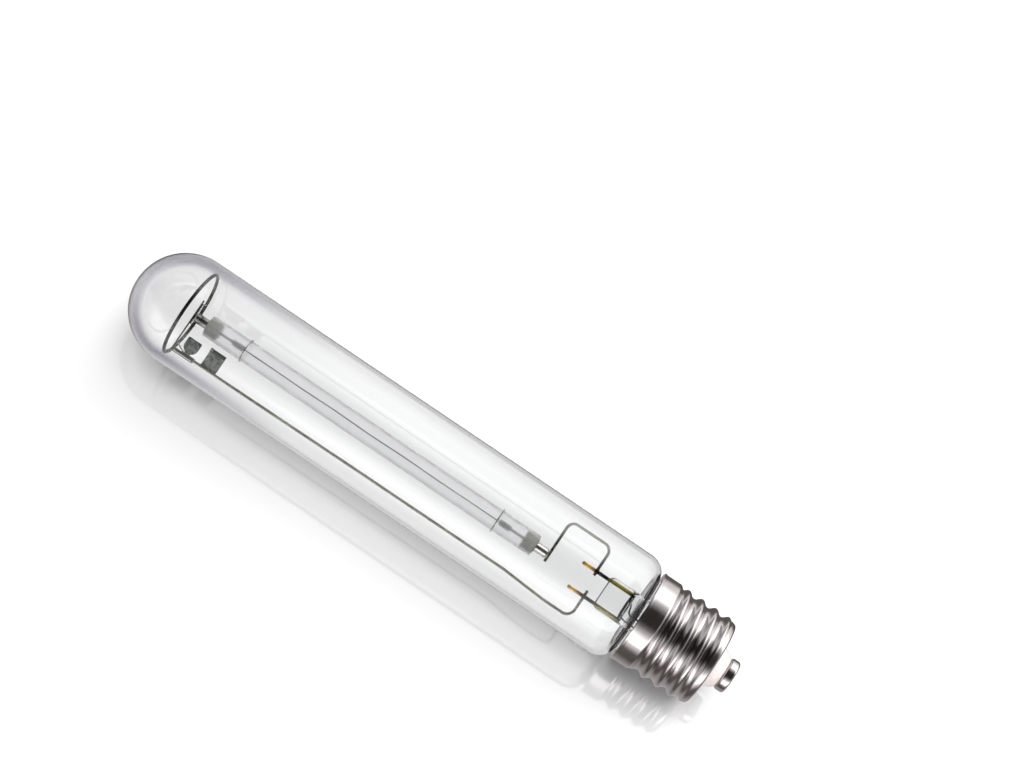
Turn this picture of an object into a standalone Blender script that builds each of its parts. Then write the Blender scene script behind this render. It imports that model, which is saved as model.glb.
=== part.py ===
"""High-pressure sodium grow lamp: clear tubular bulb, ceramic arc tube, E40 screw cap.

The lamp lies along X with its dome at -X and its cap at +X. The origin is the centre of the
contact's end face. A station is a distance along the lamp from the tip of the dome. The wires and
the stem lie in a flat mount that is rolled about the lamp's axis: "across" runs in the mount's
plane and "out" stands square to it. Lengths are in millimetres, and the helpers make metres.
"""

import math

import bmesh
import bpy
from mathutils import Matrix, Vector

MM = 0.001
MERGE = 0.00001
OBJECT_NAME = "grow_lamp"

# Whole lamp
LAMP_LENGTH = 285.0
MOUNT_ROLL = math.radians(24.7)
TOUCH = 0.06

# Outer bulb
BULB_RADIUS = 23.0
BULB_WALL = 1.2
DOME_WALL = 2.2
DOME_TIP_WALL = 3.0
TAPER_END = 85.0
SHOULDER_START = 231.5
SHOULDER_LENGTH = 8.0
SHOULDER_DROP = 6.4
NECK_RADIUS = 16.2
NECK_WALL = 1.3
NECK_START = 241.0
NECK_END = 256.0
BULB_STEPS = 36

# Screw cap
SKIRT_EDGE = 240.35
SKIRT_END = 247.9
SKIRT_RADIUS = 19.75
SKIRT_LIP = 0.2
SHELL_WALL = 0.4
THREAD_PITCH = 6.35
THREAD_MAJOR = 19.65
THREAD_MINOR = 17.9
THREAD_CREST = 252.05
THREAD_FULL = 251.0
THREAD_FADE = 270.8
THREAD_END = 273.3
SHELL_END = 275.1
SHELL_HOLE = 10.4
SHELL_COLUMNS = 28
ROWS_PER_PITCH = 6

# Insulator and contact
INSULATOR_DISC_RADIUS = 16.9
INSULATOR_DISC_START = 270.75
INSULATOR_DISC_END = 274.55
INSULATOR_BOSS_RADIUS = 10.1
INSULATOR_END = 280.6
INSULATOR_BORE = 1.0
CONTACT_START = 280.7
CONTACT_RADIUS = 7.1
CONTACT_EDGE = 1.2
CONTACT_BORE = 1.65
SOLDER_RADIUS = 1.5
SOLDER_START = 281.6

# Cement between neck and shell
CEMENT_START = 244.0
CEMENT_STEP = 248.2
CEMENT_END = 254.0
CEMENT_SKIRT_RADIUS = 19.15
CEMENT_THREAD_RADIUS = 17.25
CEMENT_BORE = 16.4

# Stem and its leads
PRESS_START = 223.3
PRESS_HALF_WIDTH = 7.35
PRESS_HALF_DEPTH = 2.35
PRESS_END = 234.0
STEM_TUBE_RADIUS = 7.5
STEM_TUBE_START = 240.5
STEM_WALL = 1.3
FLARE_RADIUS = 14.7
STEM_POINTS = 24
EXHAUST_RADIUS = 2.3
EXHAUST_BORE = 1.5
EXHAUST_START = 240.0
EXHAUST_END = 262.0
EXHAUST_OUT = -0.8
LEAD_RADIUS = 0.75
LEAD_CLEARANCE = 0.1
UPPER_LEAD_ACROSS = 5.25
UPPER_LEAD_START = 210.6
UPPER_LEAD_END = 235.3
LOWER_LEAD_ACROSS = -5.8
LOWER_LEAD_START = 210.75
LOWER_LEAD_END = 235.9
CONTACT_WIRE_RADIUS = 0.4
SHELL_WIRE_RADIUS = 0.35

# Frame rod and bridge wire
ROD_RADIUS = 0.6
ROD_ACROSS = -15.15
ROD_BASE_ACROSS = -15.8
ROD_BOW = [(52.0, -15.15), (110.0, -14.8), (186.0, -14.6)]
ROD_START = 28.2
ROD_HOOK = 218.4
ROD_HOOK_BEND = 3.7
ROD_HOOK_TOP = -3.1
BRIDGE_RADIUS = 0.625
BRIDGE_START = 197.8
BRIDGE_END = 217.15
BRIDGE_TOP = 16.3
BRIDGE_LOW = -3.0
BRIDGE_LEAD_LOW = 3.3
BRIDGE_BEND = 3.2

# Arc tube and its ends
ARC_START = 34.1
ARC_END = 191.4
ARC_RADIUS = 4.575
ARC_BORE = 3.65
PLUG_DEPTH = 5.4
PLUG_INSET = 0.13
PLUG_RADIUS = 3.55
NIOBIUM_RADIUS = 2.1
NIOBIUM_WALL = 0.3
NIOBIUM_REACH_DOME = 6.15
NIOBIUM_REACH_BASE = 5.65
NIOBIUM_DEPTH = 5.1
FRIT_RADIUS = 3.5
FRIT_LENGTH = 0.5
ELECTRODE_RADIUS = 0.5
ELECTRODE_START = 2.0
COIL_START = 11.6
COIL_END = 17.2
COIL_WIRE_RADIUS = 0.36
COIL_TURNS = 6
COIL_POINTS_PER_TURN = 8
LOOP_FROM_END = 18.1
LOOP_WIRE_RADIUS = 0.3
IGNITION_WIRE_RADIUS = 0.25
AMALGAM_RADIUS = 1.1
AMALGAM_STATION = 31.2

# Dome end: ring, straps and getters
RING_STATION = 25.6
RING_RADIUS = 18.4
RING_WIRE_RADIUS = 0.7
STRIP_THICKNESS = 0.28
BRACKET_WIDTH = 4.0
BRACKET_END = 36.9
BRACKET_HOLE = 0.75
STRAP_WIDTH = 2.6
STRAP_STATION = 27.62
SUPPORT_WIRE_RADIUS = 0.35
SUPPORT_WIRE_STATION = 26.95
GETTER_STATION = 33.15
GETTER_ACROSS = -10.9
GETTER_RADIUS = 3.05
GETTER_BACK = -0.35
GETTER_FRONT = 0.55
GETTER_PLATE_OUT = -0.57
FLAG_START = 40.15
FLAG_END = 47.25
FLAG_FOOT = -14.35
FLAG_TOP = -6.75
FLAG_BACK = -0.55
FLAG_FRONT = 0.55
STUB_STATION = 40.75
STUB_ACROSS = -7.0
STUB_RADIUS = 0.6
STUB_HALF_LENGTH = 0.95

# Colour, metallic, roughness and transmission of each finish
FINISHES = {
    "hard_glass": ((0.93, 0.95, 0.95), 0.0, 0.02, 1.0),
    "plated_brass": ((0.62, 0.59, 0.57), 1.0, 0.16, 0.0),
    "steatite": ((0.80, 0.72, 0.68), 0.0, 0.35, 0.0),
    "solder": ((0.55, 0.55, 0.56), 1.0, 0.35, 0.0),
    "cement": ((0.78, 0.76, 0.70), 0.0, 0.9, 0.0),
    "alumina": ((0.74, 0.74, 0.76), 0.0, 0.35, 0.0),
    "plug_alumina": ((0.42, 0.42, 0.38), 0.0, 0.45, 0.0),
    "frit": ((0.60, 0.58, 0.52), 0.0, 0.3, 0.0),
    "niobium": ((0.66, 0.65, 0.62), 1.0, 0.2, 0.0),
    "tungsten": ((0.18, 0.18, 0.20), 1.0, 0.4, 0.0),
    "nickel_wire": ((0.36, 0.36, 0.33), 1.0, 0.3, 0.0),
    "lead_rod": ((0.40, 0.30, 0.16), 1.0, 0.3, 0.0),
    "steel_strip": ((0.50, 0.50, 0.48), 1.0, 0.25, 0.0),
    "getter": ((0.24, 0.27, 0.25), 0.3, 0.5, 0.0),
    "amalgam": ((0.70, 0.70, 0.72), 1.0, 0.15, 0.0),
}


# ---------------------------------------------------------------- scene helpers
def clear_scene():
    """Remove every object of the open file."""
    for obj in list(bpy.data.objects):
        bpy.data.objects.remove(obj, do_unlink=True)


def new_collection(name):
    """A fresh collection in the scene."""
    collection = bpy.data.collections.new(name)
    bpy.context.scene.collection.children.link(collection)
    return collection


def finish(obj, kind):
    """Give the object a material of its own with the values of this finish."""
    colour, metallic, roughness, transmission = FINISHES[kind]
    mat = bpy.data.materials.new(f"{obj.name}_{kind}")
    mat.use_nodes = True
    shader = mat.node_tree.nodes["Principled BSDF"]
    shader.inputs["Base Color"].default_value = (*colour, 1.0)
    shader.inputs["Metallic"].default_value = metallic
    shader.inputs["Roughness"].default_value = roughness
    shader.inputs["Transmission Weight"].default_value = transmission
    mat.diffuse_color = (*colour, 1.0)
    obj.data.materials.append(mat)


def on_lamp_axis():
    """Placement of a shape turned about local Z, whose local Z is its station."""
    shift = Matrix.Translation((-LAMP_LENGTH * MM, 0.0, 0.0))
    return shift @ Matrix.Rotation(math.pi / 2, 4, "Y")


def in_mount(station=0.0, across=0.0, out=0.0):
    """Placement in the rolled mount, at a point of it: local axes are station, across, out."""
    shift = Matrix.Translation(((station - LAMP_LENGTH) * MM, 0.0, 0.0))
    in_plane = Matrix.Translation((0.0, across * MM, out * MM))
    return shift @ Matrix.Rotation(MOUNT_ROLL, 4, "X") @ in_plane


def add_object(name, data, placement, kind):
    """Link the data as a named object of the lamp."""
    obj = bpy.data.objects.new(name, data)
    parts.objects.link(obj)
    obj.matrix_world = placement
    finish(obj, kind)
    return obj


def add_cutter(name, data, placement):
    """Link the data as a hidden cutter."""
    obj = bpy.data.objects.new(name, data)
    cutters.objects.link(obj)
    obj.matrix_world = placement
    obj.hide_render = True
    obj.display_type = "WIRE"
    return obj


def cut(obj, cutter):
    """Take the cutter's shape out of the object."""
    modifier = obj.modifiers.new(cutter.name, "BOOLEAN")
    modifier.operation = "DIFFERENCE"
    modifier.solver = "EXACT"
    modifier.object = cutter


# ---------------------------------------------------------------- shape helpers
def arc(centre, reach, start, end, count):
    """Points (station, radius) on an ellipse, at angles in degrees from +station."""
    angles = [math.radians(start + (end - start) * i / count) for i in range(count + 1)]
    return [(centre[0] + reach[0] * math.cos(a), centre[1] + reach[1] * math.sin(a)) for a in angles]


def turned(name, outline, kind, steps, placement=None, ring=False):
    """Turn an outline of (station, radius) points about local Z.

    The outline runs from high stations to low ones on its outer side. A ring's outline closes
    on itself, and any other outline starts and ends on the axis.
    """
    mesh = bpy.data.meshes.new(name)
    verts = [(radius * MM, 0.0, station * MM) for station, radius in outline]
    edges = [(i, i + 1) for i in range(len(verts) - 1)]
    if ring:
        edges.append((len(verts) - 1, 0))
    mesh.from_pydata(verts, edges, [])
    obj = add_object(name, mesh, placement or on_lamp_axis(), kind)
    screw = obj.modifiers.new("turn", "SCREW")
    screw.axis = "Z"
    screw.steps = steps
    screw.render_steps = steps
    screw.use_merge_vertices = True
    screw.merge_threshold = MERGE
    screw.use_smooth_shade = True
    return obj


def rounded(points, bend, steps=6):
    """A route whose corners are arcs of the bend radius, or of what the runs leave room for."""
    points = [Vector(p) for p in points]
    route = [points[0]]
    for before, corner, after in zip(points, points[1:], points[2:]):
        back = (before - corner).normalized()
        ahead = (after - corner).normalized()
        half = back.angle(ahead) / 2
        room = 0.45 * min((before - corner).length, (after - corner).length)
        cut_back = min(bend / math.tan(half), room)
        radius = cut_back * math.tan(half)
        centre = corner + (back + ahead).normalized() * (radius / math.sin(half))
        first = corner + back * cut_back - centre
        last = corner + ahead * cut_back - centre
        for i in range(steps + 1):
            route.append(centre + first.slerp(last, i / steps) * radius)
    return route + [points[-1]]


def flowing(points, steps=4):
    """A smooth route through all the points."""
    points = [Vector(p) for p in points]
    padded = [2 * points[0] - points[1], *points, 2 * points[-1] - points[-2]]
    route = []
    for a, b, c, d in zip(padded, padded[1:], padded[2:], padded[3:]):
        for i in range(steps):
            t = i / steps
            bow = (2 * a - 5 * b + 4 * c - d) * t * t + (3 * b - a - 3 * c + d) * t ** 3
            route.append(b + ((c - a) * t + bow) / 2)
    return route + [points[-1]]


def wire(name, route, radius, kind, cyclic=False):
    """A round wire along a route of (station, across, out) points."""
    curve = bpy.data.curves.new(name, "CURVE")
    curve.dimensions = "3D"
    curve.bevel_depth = radius * MM
    curve.bevel_resolution = 2
    curve.use_fill_caps = not cyclic
    spline = curve.splines.new("POLY")
    spline.points.add(len(route) - 1)
    for point, place in zip(spline.points, route):
        point.co = (*(Vector(place) * MM), 1.0)
    spline.use_cyclic_u = cyclic
    return add_object(name, curve, in_mount(), kind)


def circle(station, radius, count):
    """A route round the lamp's axis."""
    turns = [2 * math.pi * i / count for i in range(count)]
    return [(station, radius * math.cos(t), radius * math.sin(t)) for t in turns]


def strip(name, path, run, kind):
    """A folded metal strip: the path is swept along run, centred on it, and thickened."""
    sweep = Vector(run) * MM / 2
    mesh = bpy.data.meshes.new(name)
    verts = [Vector(p) * MM - sweep for p in path] + [Vector(p) * MM + sweep for p in path]
    count = len(path)
    faces = [(i, i + 1, i + 1 + count, i + count) for i in range(count - 1)]
    mesh.from_pydata(verts, [], faces)
    obj = add_object(name, mesh, in_mount(), kind)
    solid = obj.modifiers.new("sheet", "SOLIDIFY")
    solid.thickness = STRIP_THICKNESS * MM
    solid.offset = 0.0
    solid.use_even_offset = True
    return obj


def flat_plate(name, outline, kind, placement):
    """A flat plate of strip metal with this outline of (station, across) points."""
    curve = bpy.data.curves.new(name, "CURVE")
    curve.dimensions = "2D"
    curve.fill_mode = "BOTH"
    curve.extrude = STRIP_THICKNESS * MM / 2
    spline = curve.splines.new("POLY")
    spline.points.add(len(outline) - 1)
    for point, place in zip(spline.points, outline):
        point.co = (place[0] * MM, place[1] * MM, 0.0, 1.0)
    spline.use_cyclic_u = True
    return add_object(name, curve, placement, kind)


def loft(name, rings, kind, placement, looped):
    """Skin between rings of points. A looped skin joins its last ring to its first."""
    mesh = bpy.data.meshes.new(name)
    bm = bmesh.new()
    rows = [[bm.verts.new(Vector(p) * MM) for p in ring] for ring in rings]
    pairs = list(zip(rows, rows[1:]))
    if looped:
        pairs.append((rows[-1], rows[0]))
    else:
        bm.faces.new(rows[0])
        bm.faces.new(rows[-1])
    for low, high in pairs:
        for i in range(len(low)):
            j = (i + 1) % len(low)
            bm.faces.new((low[i], low[j], high[j], high[i]))
    bmesh.ops.recalc_face_normals(bm, faces=bm.faces)
    bm.to_mesh(mesh)
    bm.free()
    mesh.shade_smooth()
    return add_object(name, mesh, placement, kind)


def cylinder_mesh(name, radius, length, segments=16):
    """A closed cylinder on local Z, centred on its middle."""
    mesh = bpy.data.meshes.new(name)
    bm = bmesh.new()
    bmesh.ops.create_cone(
        bm, cap_ends=True, segments=segments, radius1=radius * MM, radius2=radius * MM, depth=length * MM
    )
    bm.to_mesh(mesh)
    bm.free()
    return mesh


# ---------------------------------------------------------------- bulb
def outer_bulb():
    """Clear tube with a thick round dome, a rounded shoulder and a neck that is open at its end."""
    bore = BULB_RADIUS - BULB_WALL
    neck_bore = NECK_RADIUS - NECK_WALL
    inner_shoulder = (SHOULDER_START - 0.5, neck_bore + 0.5)
    inner_reach = (SHOULDER_LENGTH - BULB_WALL, bore - inner_shoulder[1])
    outer_shoulder = (SHOULDER_START, BULB_RADIUS - SHOULDER_DROP)
    outline = arc((BULB_RADIUS, 0.0), (BULB_RADIUS - DOME_TIP_WALL, BULB_RADIUS - DOME_WALL), 180, 90, 8)
    outline += [(TAPER_END, bore)]
    outline += arc(inner_shoulder, inner_reach, 90, 0, 5)
    outline += [(NECK_START - NECK_WALL, neck_bore), (NECK_END, neck_bore)]
    outline += [(NECK_END, NECK_RADIUS), (NECK_START, NECK_RADIUS)]
    outline += arc(outer_shoulder, (SHOULDER_LENGTH, SHOULDER_DROP), 0, 90, 6)
    outline += arc((BULB_RADIUS, 0.0), (BULB_RADIUS, BULB_RADIUS), 90, 180, 10)
    turned("outer_bulb", outline, "hard_glass", BULB_STEPS)


# ---------------------------------------------------------------- screw cap
def smooth_step(value, low, high):
    """0 below low, 1 above high, and an S-curve between."""
    t = min(max((value - low) / (high - low), 0.0), 1.0)
    return t * t * (3 - 2 * t)


def shell_radius(station, turn):
    """Outer radius of the pressed shell at a station and an angle round the lamp."""
    middle = (THREAD_MAJOR + THREAD_MINOR) / 2
    depth = (THREAD_MAJOR - THREAD_MINOR) / 2
    body = SKIRT_RADIUS + (middle - SKIRT_RADIUS) * smooth_step(station, SKIRT_END, SKIRT_END + 2.0)
    fade_in = smooth_step(station, SKIRT_END + 0.9, THREAD_FULL)
    fade_out = 1 - smooth_step(station, THREAD_FADE, THREAD_END)
    phase = (station - THREAD_CREST) / THREAD_PITCH - (turn - MOUNT_ROLL) / (2 * math.pi)
    return body + depth * fade_in * fade_out * math.cos(2 * math.pi * phase)


def shell_ring(station, radius=None, inward=0.0):
    """One ring of the shell, at a fixed radius or on the threaded body."""
    turns = [2 * math.pi * i / SHELL_COLUMNS for i in range(SHELL_COLUMNS)]
    radii = [(radius or shell_radius(station, t)) - inward for t in turns]
    return [(station, r * math.cos(t), r * math.sin(t)) for r, t in zip(radii, turns)]


def cap_shell():
    """Skirt with a lip, pressed right-hand E40 thread, and an end that is turned in."""
    lip = SKIRT_RADIUS + SKIRT_LIP
    rows = int((THREAD_END - SKIRT_END) / THREAD_PITCH * ROWS_PER_PITCH)
    stations = [SKIRT_END + (THREAD_END - SKIRT_END) * i / rows for i in range(rows + 1)]
    end_bend = [(-1.0, 18.5), (-0.4, 18.2), (-0.1, 17.7), (0.0, 17.0), (0.0, SHELL_HOLE)]
    outer = [shell_ring(SKIRT_EDGE, lip), shell_ring(SKIRT_EDGE + 0.6, lip)]
    outer += [shell_ring(SKIRT_EDGE + 1.2, SKIRT_RADIUS)]
    outer += [shell_ring(s) for s in stations]
    outer += [shell_ring(SHELL_END + s, r) for s, r in end_bend]
    inner_end = SHELL_END - SHELL_WALL
    inner = [shell_ring(inner_end, SHELL_HOLE), shell_ring(inner_end, 16.9), shell_ring(SHELL_END - 1.07, 18.0)]
    inner += [shell_ring(s, inward=SHELL_WALL) for s in reversed(stations)]
    inner += [shell_ring(SKIRT_EDGE + 1.2, SKIRT_RADIUS, SHELL_WALL)]
    inner += [shell_ring(SKIRT_EDGE, lip, SHELL_WALL)]
    placement = Matrix.Translation((-LAMP_LENGTH * MM, 0.0, 0.0))
    loft("cap_shell", outer + inner, "plated_brass", placement, looped=True)


def cap_insulator():
    """Ceramic disc held in the shell's end, with a cone that carries the contact."""
    outline = [
        (INSULATOR_END, INSULATOR_BORE),
        (INSULATOR_END, CONTACT_RADIUS - 0.3),
        (INSULATOR_END - 0.3, CONTACT_RADIUS),
        (SHELL_END + 0.5, INSULATOR_BOSS_RADIUS - 0.1),
        (SHELL_END, INSULATOR_BOSS_RADIUS),
        (INSULATOR_DISC_END, INSULATOR_BOSS_RADIUS),
        (INSULATOR_DISC_END, INSULATOR_DISC_RADIUS - 0.4),
        (INSULATOR_DISC_END - 0.4, INSULATOR_DISC_RADIUS),
        (INSULATOR_DISC_START, INSULATOR_DISC_RADIUS),
        (INSULATOR_DISC_START, INSULATOR_BORE),
    ]
    turned("cap_insulator", outline, "steatite", 32, ring=True)


def centre_contact():
    """Thick round contact with a rolled edge and a hole for the solder."""
    bottom = (CONTACT_START + CONTACT_EDGE, CONTACT_RADIUS - CONTACT_EDGE)
    top = (LAMP_LENGTH - CONTACT_EDGE, CONTACT_RADIUS - CONTACT_EDGE)
    reach = (CONTACT_EDGE, CONTACT_EDGE)
    outline = [(LAMP_LENGTH, CONTACT_BORE)]
    outline += arc(top, reach, 0, 90, 4) + arc(bottom, reach, 90, 180, 4)
    outline += [(CONTACT_START, CONTACT_BORE)]
    turned("centre_contact", outline, "plated_brass", 32, ring=True)


def contact_solder():
    """Plug of solder that joins the lead to the contact, dressed flush with it."""
    outline = [
        (LAMP_LENGTH, 0.0),
        (LAMP_LENGTH, SOLDER_RADIUS),
        (SOLDER_START, SOLDER_RADIUS),
        (SOLDER_START, 0.0),
    ]
    turned("contact_solder", outline, "solder", 16)


def basing_cement():
    """Ring of cement between the neck and the shell, stepped where the skirt meets the thread."""
    outline = [
        (CEMENT_END, CEMENT_BORE),
        (CEMENT_END, CEMENT_THREAD_RADIUS),
        (CEMENT_STEP + 0.6, CEMENT_THREAD_RADIUS),
        (CEMENT_STEP - 0.6, CEMENT_SKIRT_RADIUS),
        (CEMENT_START, CEMENT_SKIRT_RADIUS),
        (CEMENT_START, CEMENT_BORE),
    ]
    turned("basing_cement", outline, "cement", 32, ring=True)


# ---------------------------------------------------------------- stem and leads
def stem_ring(station, half_across, half_out, squareness):
    """One section of the stem: an ellipse that squareness above 2 makes more of a rectangle."""
    ring = []
    for i in range(STEM_POINTS):
        turn = 2 * math.pi * (i + 0.5) / STEM_POINTS
        reach_across = math.copysign(abs(math.cos(turn)) ** (2 / squareness), math.cos(turn))
        reach_out = math.copysign(abs(math.sin(turn)) ** (2 / squareness), math.sin(turn))
        ring.append((station, half_across * reach_across, half_out * reach_out))
    return ring


def stem():
    """Glass stem: flat press round the leads, then a tube that flares out to the neck."""
    flare = [(244.0, 8.1), (248.0, 9.7), (252.0, 12.2), (254.8, FLARE_RADIUS - 0.15)]
    outer = [
        stem_ring(PRESS_START, PRESS_HALF_WIDTH - 1.3, PRESS_HALF_DEPTH - 1.2, 3.0),
        stem_ring(PRESS_START + 0.35, PRESS_HALF_WIDTH - 0.6, PRESS_HALF_DEPTH - 0.6, 3.2),
        stem_ring(PRESS_START + 1.2, PRESS_HALF_WIDTH - 0.15, PRESS_HALF_DEPTH - 0.15, 3.5),
        stem_ring(PRESS_START + 2.6, PRESS_HALF_WIDTH, PRESS_HALF_DEPTH, 3.5),
        stem_ring(PRESS_END, PRESS_HALF_WIDTH, PRESS_HALF_DEPTH, 3.5),
        stem_ring(PRESS_END + 2.3, STEM_TUBE_RADIUS - 0.1, PRESS_HALF_DEPTH + 1.5, 2.6),
        stem_ring(STEM_TUBE_START - 2.0, STEM_TUBE_RADIUS - 0.05, STEM_TUBE_RADIUS - 1.3, 2.2),
        stem_ring(STEM_TUBE_START, STEM_TUBE_RADIUS, STEM_TUBE_RADIUS, 2.0),
    ]
    outer += [stem_ring(s, r, r, 2.0) for s, r in flare]
    outer += [stem_ring(NECK_END, FLARE_RADIUS, FLARE_RADIUS, 2.0)]
    rim_bore = FLARE_RADIUS - STEM_WALL
    tube_bore = STEM_TUBE_RADIUS - STEM_WALL
    inner = [stem_ring(NECK_END, rim_bore, rim_bore, 2.0)]
    inner += [stem_ring(s - 0.4, r - STEM_WALL, r - STEM_WALL, 2.0) for s, r in reversed(flare)]
    inner += [
        stem_ring(STEM_TUBE_START, tube_bore, tube_bore, 2.0),
        stem_ring(STEM_TUBE_START - 2.0, tube_bore - 0.05, tube_bore - 1.5, 2.2),
        stem_ring(PRESS_END + 2.5, tube_bore - 0.1, PRESS_HALF_DEPTH - 0.1, 2.6),
        stem_ring(PRESS_END + 0.6, tube_bore - 0.2, 0.7, 3.0),
    ]
    obj = loft("stem", outer + inner, "hard_glass", in_mount(), looped=False)
    bore = cylinder_mesh("lead_bore", LEAD_RADIUS + LEAD_CLEARANCE, 14.2)
    along = Matrix.Rotation(math.pi / 2, 4, "Y")
    for side, across in (("upper", UPPER_LEAD_ACROSS), ("lower", LOWER_LEAD_ACROSS)):
        cut(obj, add_cutter(f"{side}_lead_bore", bore, in_mount(PRESS_END - 4.9, across) @ along))


def exhaust_tube():
    """Thin glass tube in the stem, through which the bulb was emptied, with its end melted shut."""
    tip = EXHAUST_END - EXHAUST_RADIUS
    outline = [(EXHAUST_END - 1.2, 0.0)]
    outline += arc((tip, 0.0), (EXHAUST_BORE - 0.3, EXHAUST_BORE), 0, 90, 3)[1:]
    outline += [(EXHAUST_START, EXHAUST_BORE), (EXHAUST_START, EXHAUST_RADIUS)]
    outline += arc((tip, 0.0), (EXHAUST_RADIUS, EXHAUST_RADIUS), 90, 0, 4)
    placement = in_mount(0.0, 0.0, EXHAUST_OUT) @ Matrix.Rotation(math.pi / 2, 4, "Y")
    turned("exhaust_tube", list(reversed(outline)), "hard_glass", 16, placement)


def lead_rods():
    """The two stiff rods that carry the current through the press."""
    upper = [(UPPER_LEAD_START, UPPER_LEAD_ACROSS, 0.0), (UPPER_LEAD_END, UPPER_LEAD_ACROSS, 0.0)]
    lower = [(LOWER_LEAD_START, LOWER_LEAD_ACROSS, 0.0), (LOWER_LEAD_END, LOWER_LEAD_ACROSS, 0.0)]
    wire("upper_lead_rod", upper, LEAD_RADIUS, "lead_rod")
    wire("lower_lead_rod", lower, LEAD_RADIUS, "lead_rod")


def centre_contact_wire():
    """Flexible lead from the upper rod down past the exhaust tube and along to the contact."""
    start = UPPER_LEAD_ACROSS - LEAD_RADIUS - TOUCH
    route = [
        (235.0, start, 0.0),
        (235.2, 2.6, 0.2),
        (236.6, 1.2, 0.6),
        (237.3, -0.9, 1.6),
        (239.0, -1.9, 3.1),
        (243.0, -1.5, 3.9),
        (252.0, -0.7, 3.9),
        (262.0, -0.1, 3.4),
        (266.5, 0.0, 1.3),
        (270.0, 0.0, 0.0),
        (SOLDER_START - 0.3, 0.0, 0.0),
    ]
    wire("centre_contact_wire", flowing(route), CONTACT_WIRE_RADIUS, "nickel_wire")


def shell_wire():
    """Flexible lead from the lower rod, out of the flare and round to the shell."""
    route = [
        (235.0, -3.5, 0.0),
        (235.1, -4.2, 0.0),
        (236.0, -4.6, 0.0),
        (238.0, -5.0, 0.2),
        (241.0, -5.1, 0.5),
        (246.0, -5.7, 0.9),
        (252.0, -8.4, 1.3),
        (257.0, -11.6, 1.8),
        (260.5, -14.2, 2.0),
        (263.0, -16.8, 2.1),
    ]
    wire("shell_wire", flowing(route), SHELL_WIRE_RADIUS, "nickel_wire")


# ---------------------------------------------------------------- frame of wires
def frame_rod():
    """Long, slightly bowed rod from the dome end to where it hooks up across the lower lead."""
    out = LEAD_RADIUS + ROD_RADIUS + TOUCH
    corners = [(ROD_START, ROD_ACROSS, 0.0)]
    corners += [(station, across, 0.0) for station, across in ROD_BOW]
    corners += [
        (206.0, ROD_BASE_ACROSS, out),
        (ROD_HOOK, ROD_BASE_ACROSS, out),
        (ROD_HOOK, ROD_HOOK_TOP, out),
    ]
    wire("frame_rod", rounded(corners, ROD_HOOK_BEND), ROD_RADIUS, "nickel_wire")


def bridge_wire():
    """C-shaped wire from the niobium tube's end, over, and down across the upper lead."""
    out = LEAD_RADIUS + BRIDGE_RADIUS + TOUCH
    corners = [
        (BRIDGE_START, BRIDGE_LOW, 0.0),
        (BRIDGE_START, BRIDGE_TOP, 0.0),
        (BRIDGE_END, BRIDGE_TOP, out),
        (BRIDGE_END, BRIDGE_LEAD_LOW, out),
    ]
    wire("bridge_wire", rounded(corners, BRIDGE_BEND), BRIDGE_RADIUS, "nickel_wire")


# ---------------------------------------------------------------- arc tube
def along_arc(end):
    """Where the arc tube ends, which way is inwards from there, and how far the niobium reaches out."""
    if end == "dome":
        return ARC_START, 1, NIOBIUM_REACH_DOME
    return ARC_END, -1, NIOBIUM_REACH_BASE


def ring_between(first, last, bore, radius):
    """Outline of a plain ring between two stations, in either order."""
    low, high = sorted((first, last))
    return [(high, bore), (high, radius), (low, radius), (low, bore)]


def arc_tube():
    """Translucent alumina tube in which the arc burns."""
    turned("arc_tube", ring_between(ARC_START, ARC_END, ARC_BORE, ARC_RADIUS), "alumina", 32, ring=True)


def arc_tube_end(end):
    """Plug, sealing frit, niobium feed tube, electrode rod and coil of one end."""
    edge, inwards, reach = along_arc(end)
    bore = NIOBIUM_RADIUS + LEAD_CLEARANCE
    plug = ring_between(edge + inwards * PLUG_INSET, edge + inwards * PLUG_DEPTH, bore, PLUG_RADIUS)
    turned(f"arc_tube_plug_{end}", plug, "plug_alumina", 24, ring=True)
    frit = ring_between(edge, edge - inwards * FRIT_LENGTH, bore, FRIT_RADIUS)
    turned(f"frit_ring_{end}", frit, "frit", 24, ring=True)
    niobium_tube(end, edge, inwards, reach)
    rod_ends = [edge + inwards * ELECTRODE_START, edge + inwards * (COIL_END + 0.3)]
    wire(f"electrode_rod_{end}", [(s, 0.0, 0.0) for s in rod_ends], ELECTRODE_RADIUS, "tungsten")
    electrode_coil(end, edge, inwards)


def niobium_tube(end, edge, inwards, reach):
    """Feed tube with a closed outer end, necked in round the electrode rod at its inner end."""
    bore = NIOBIUM_RADIUS - NIOBIUM_WALL
    neck = ELECTRODE_RADIUS + LEAD_CLEARANCE
    outline = [
        (-reach, 0.0),
        (-reach, NIOBIUM_RADIUS - 0.4),
        (-reach + 0.4, NIOBIUM_RADIUS),
        (NIOBIUM_DEPTH, NIOBIUM_RADIUS),
        (NIOBIUM_DEPTH, neck),
        (NIOBIUM_DEPTH - 0.5, neck),
        (NIOBIUM_DEPTH - 0.5, bore),
        (-reach + 0.6, bore),
        (-reach + 0.6, 0.0),
    ]
    outline = [(edge + inwards * depth, radius) for depth, radius in outline]
    if inwards > 0:
        outline.reverse()
    turned(f"niobium_tube_{end}", outline, "niobium", 20)


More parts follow.
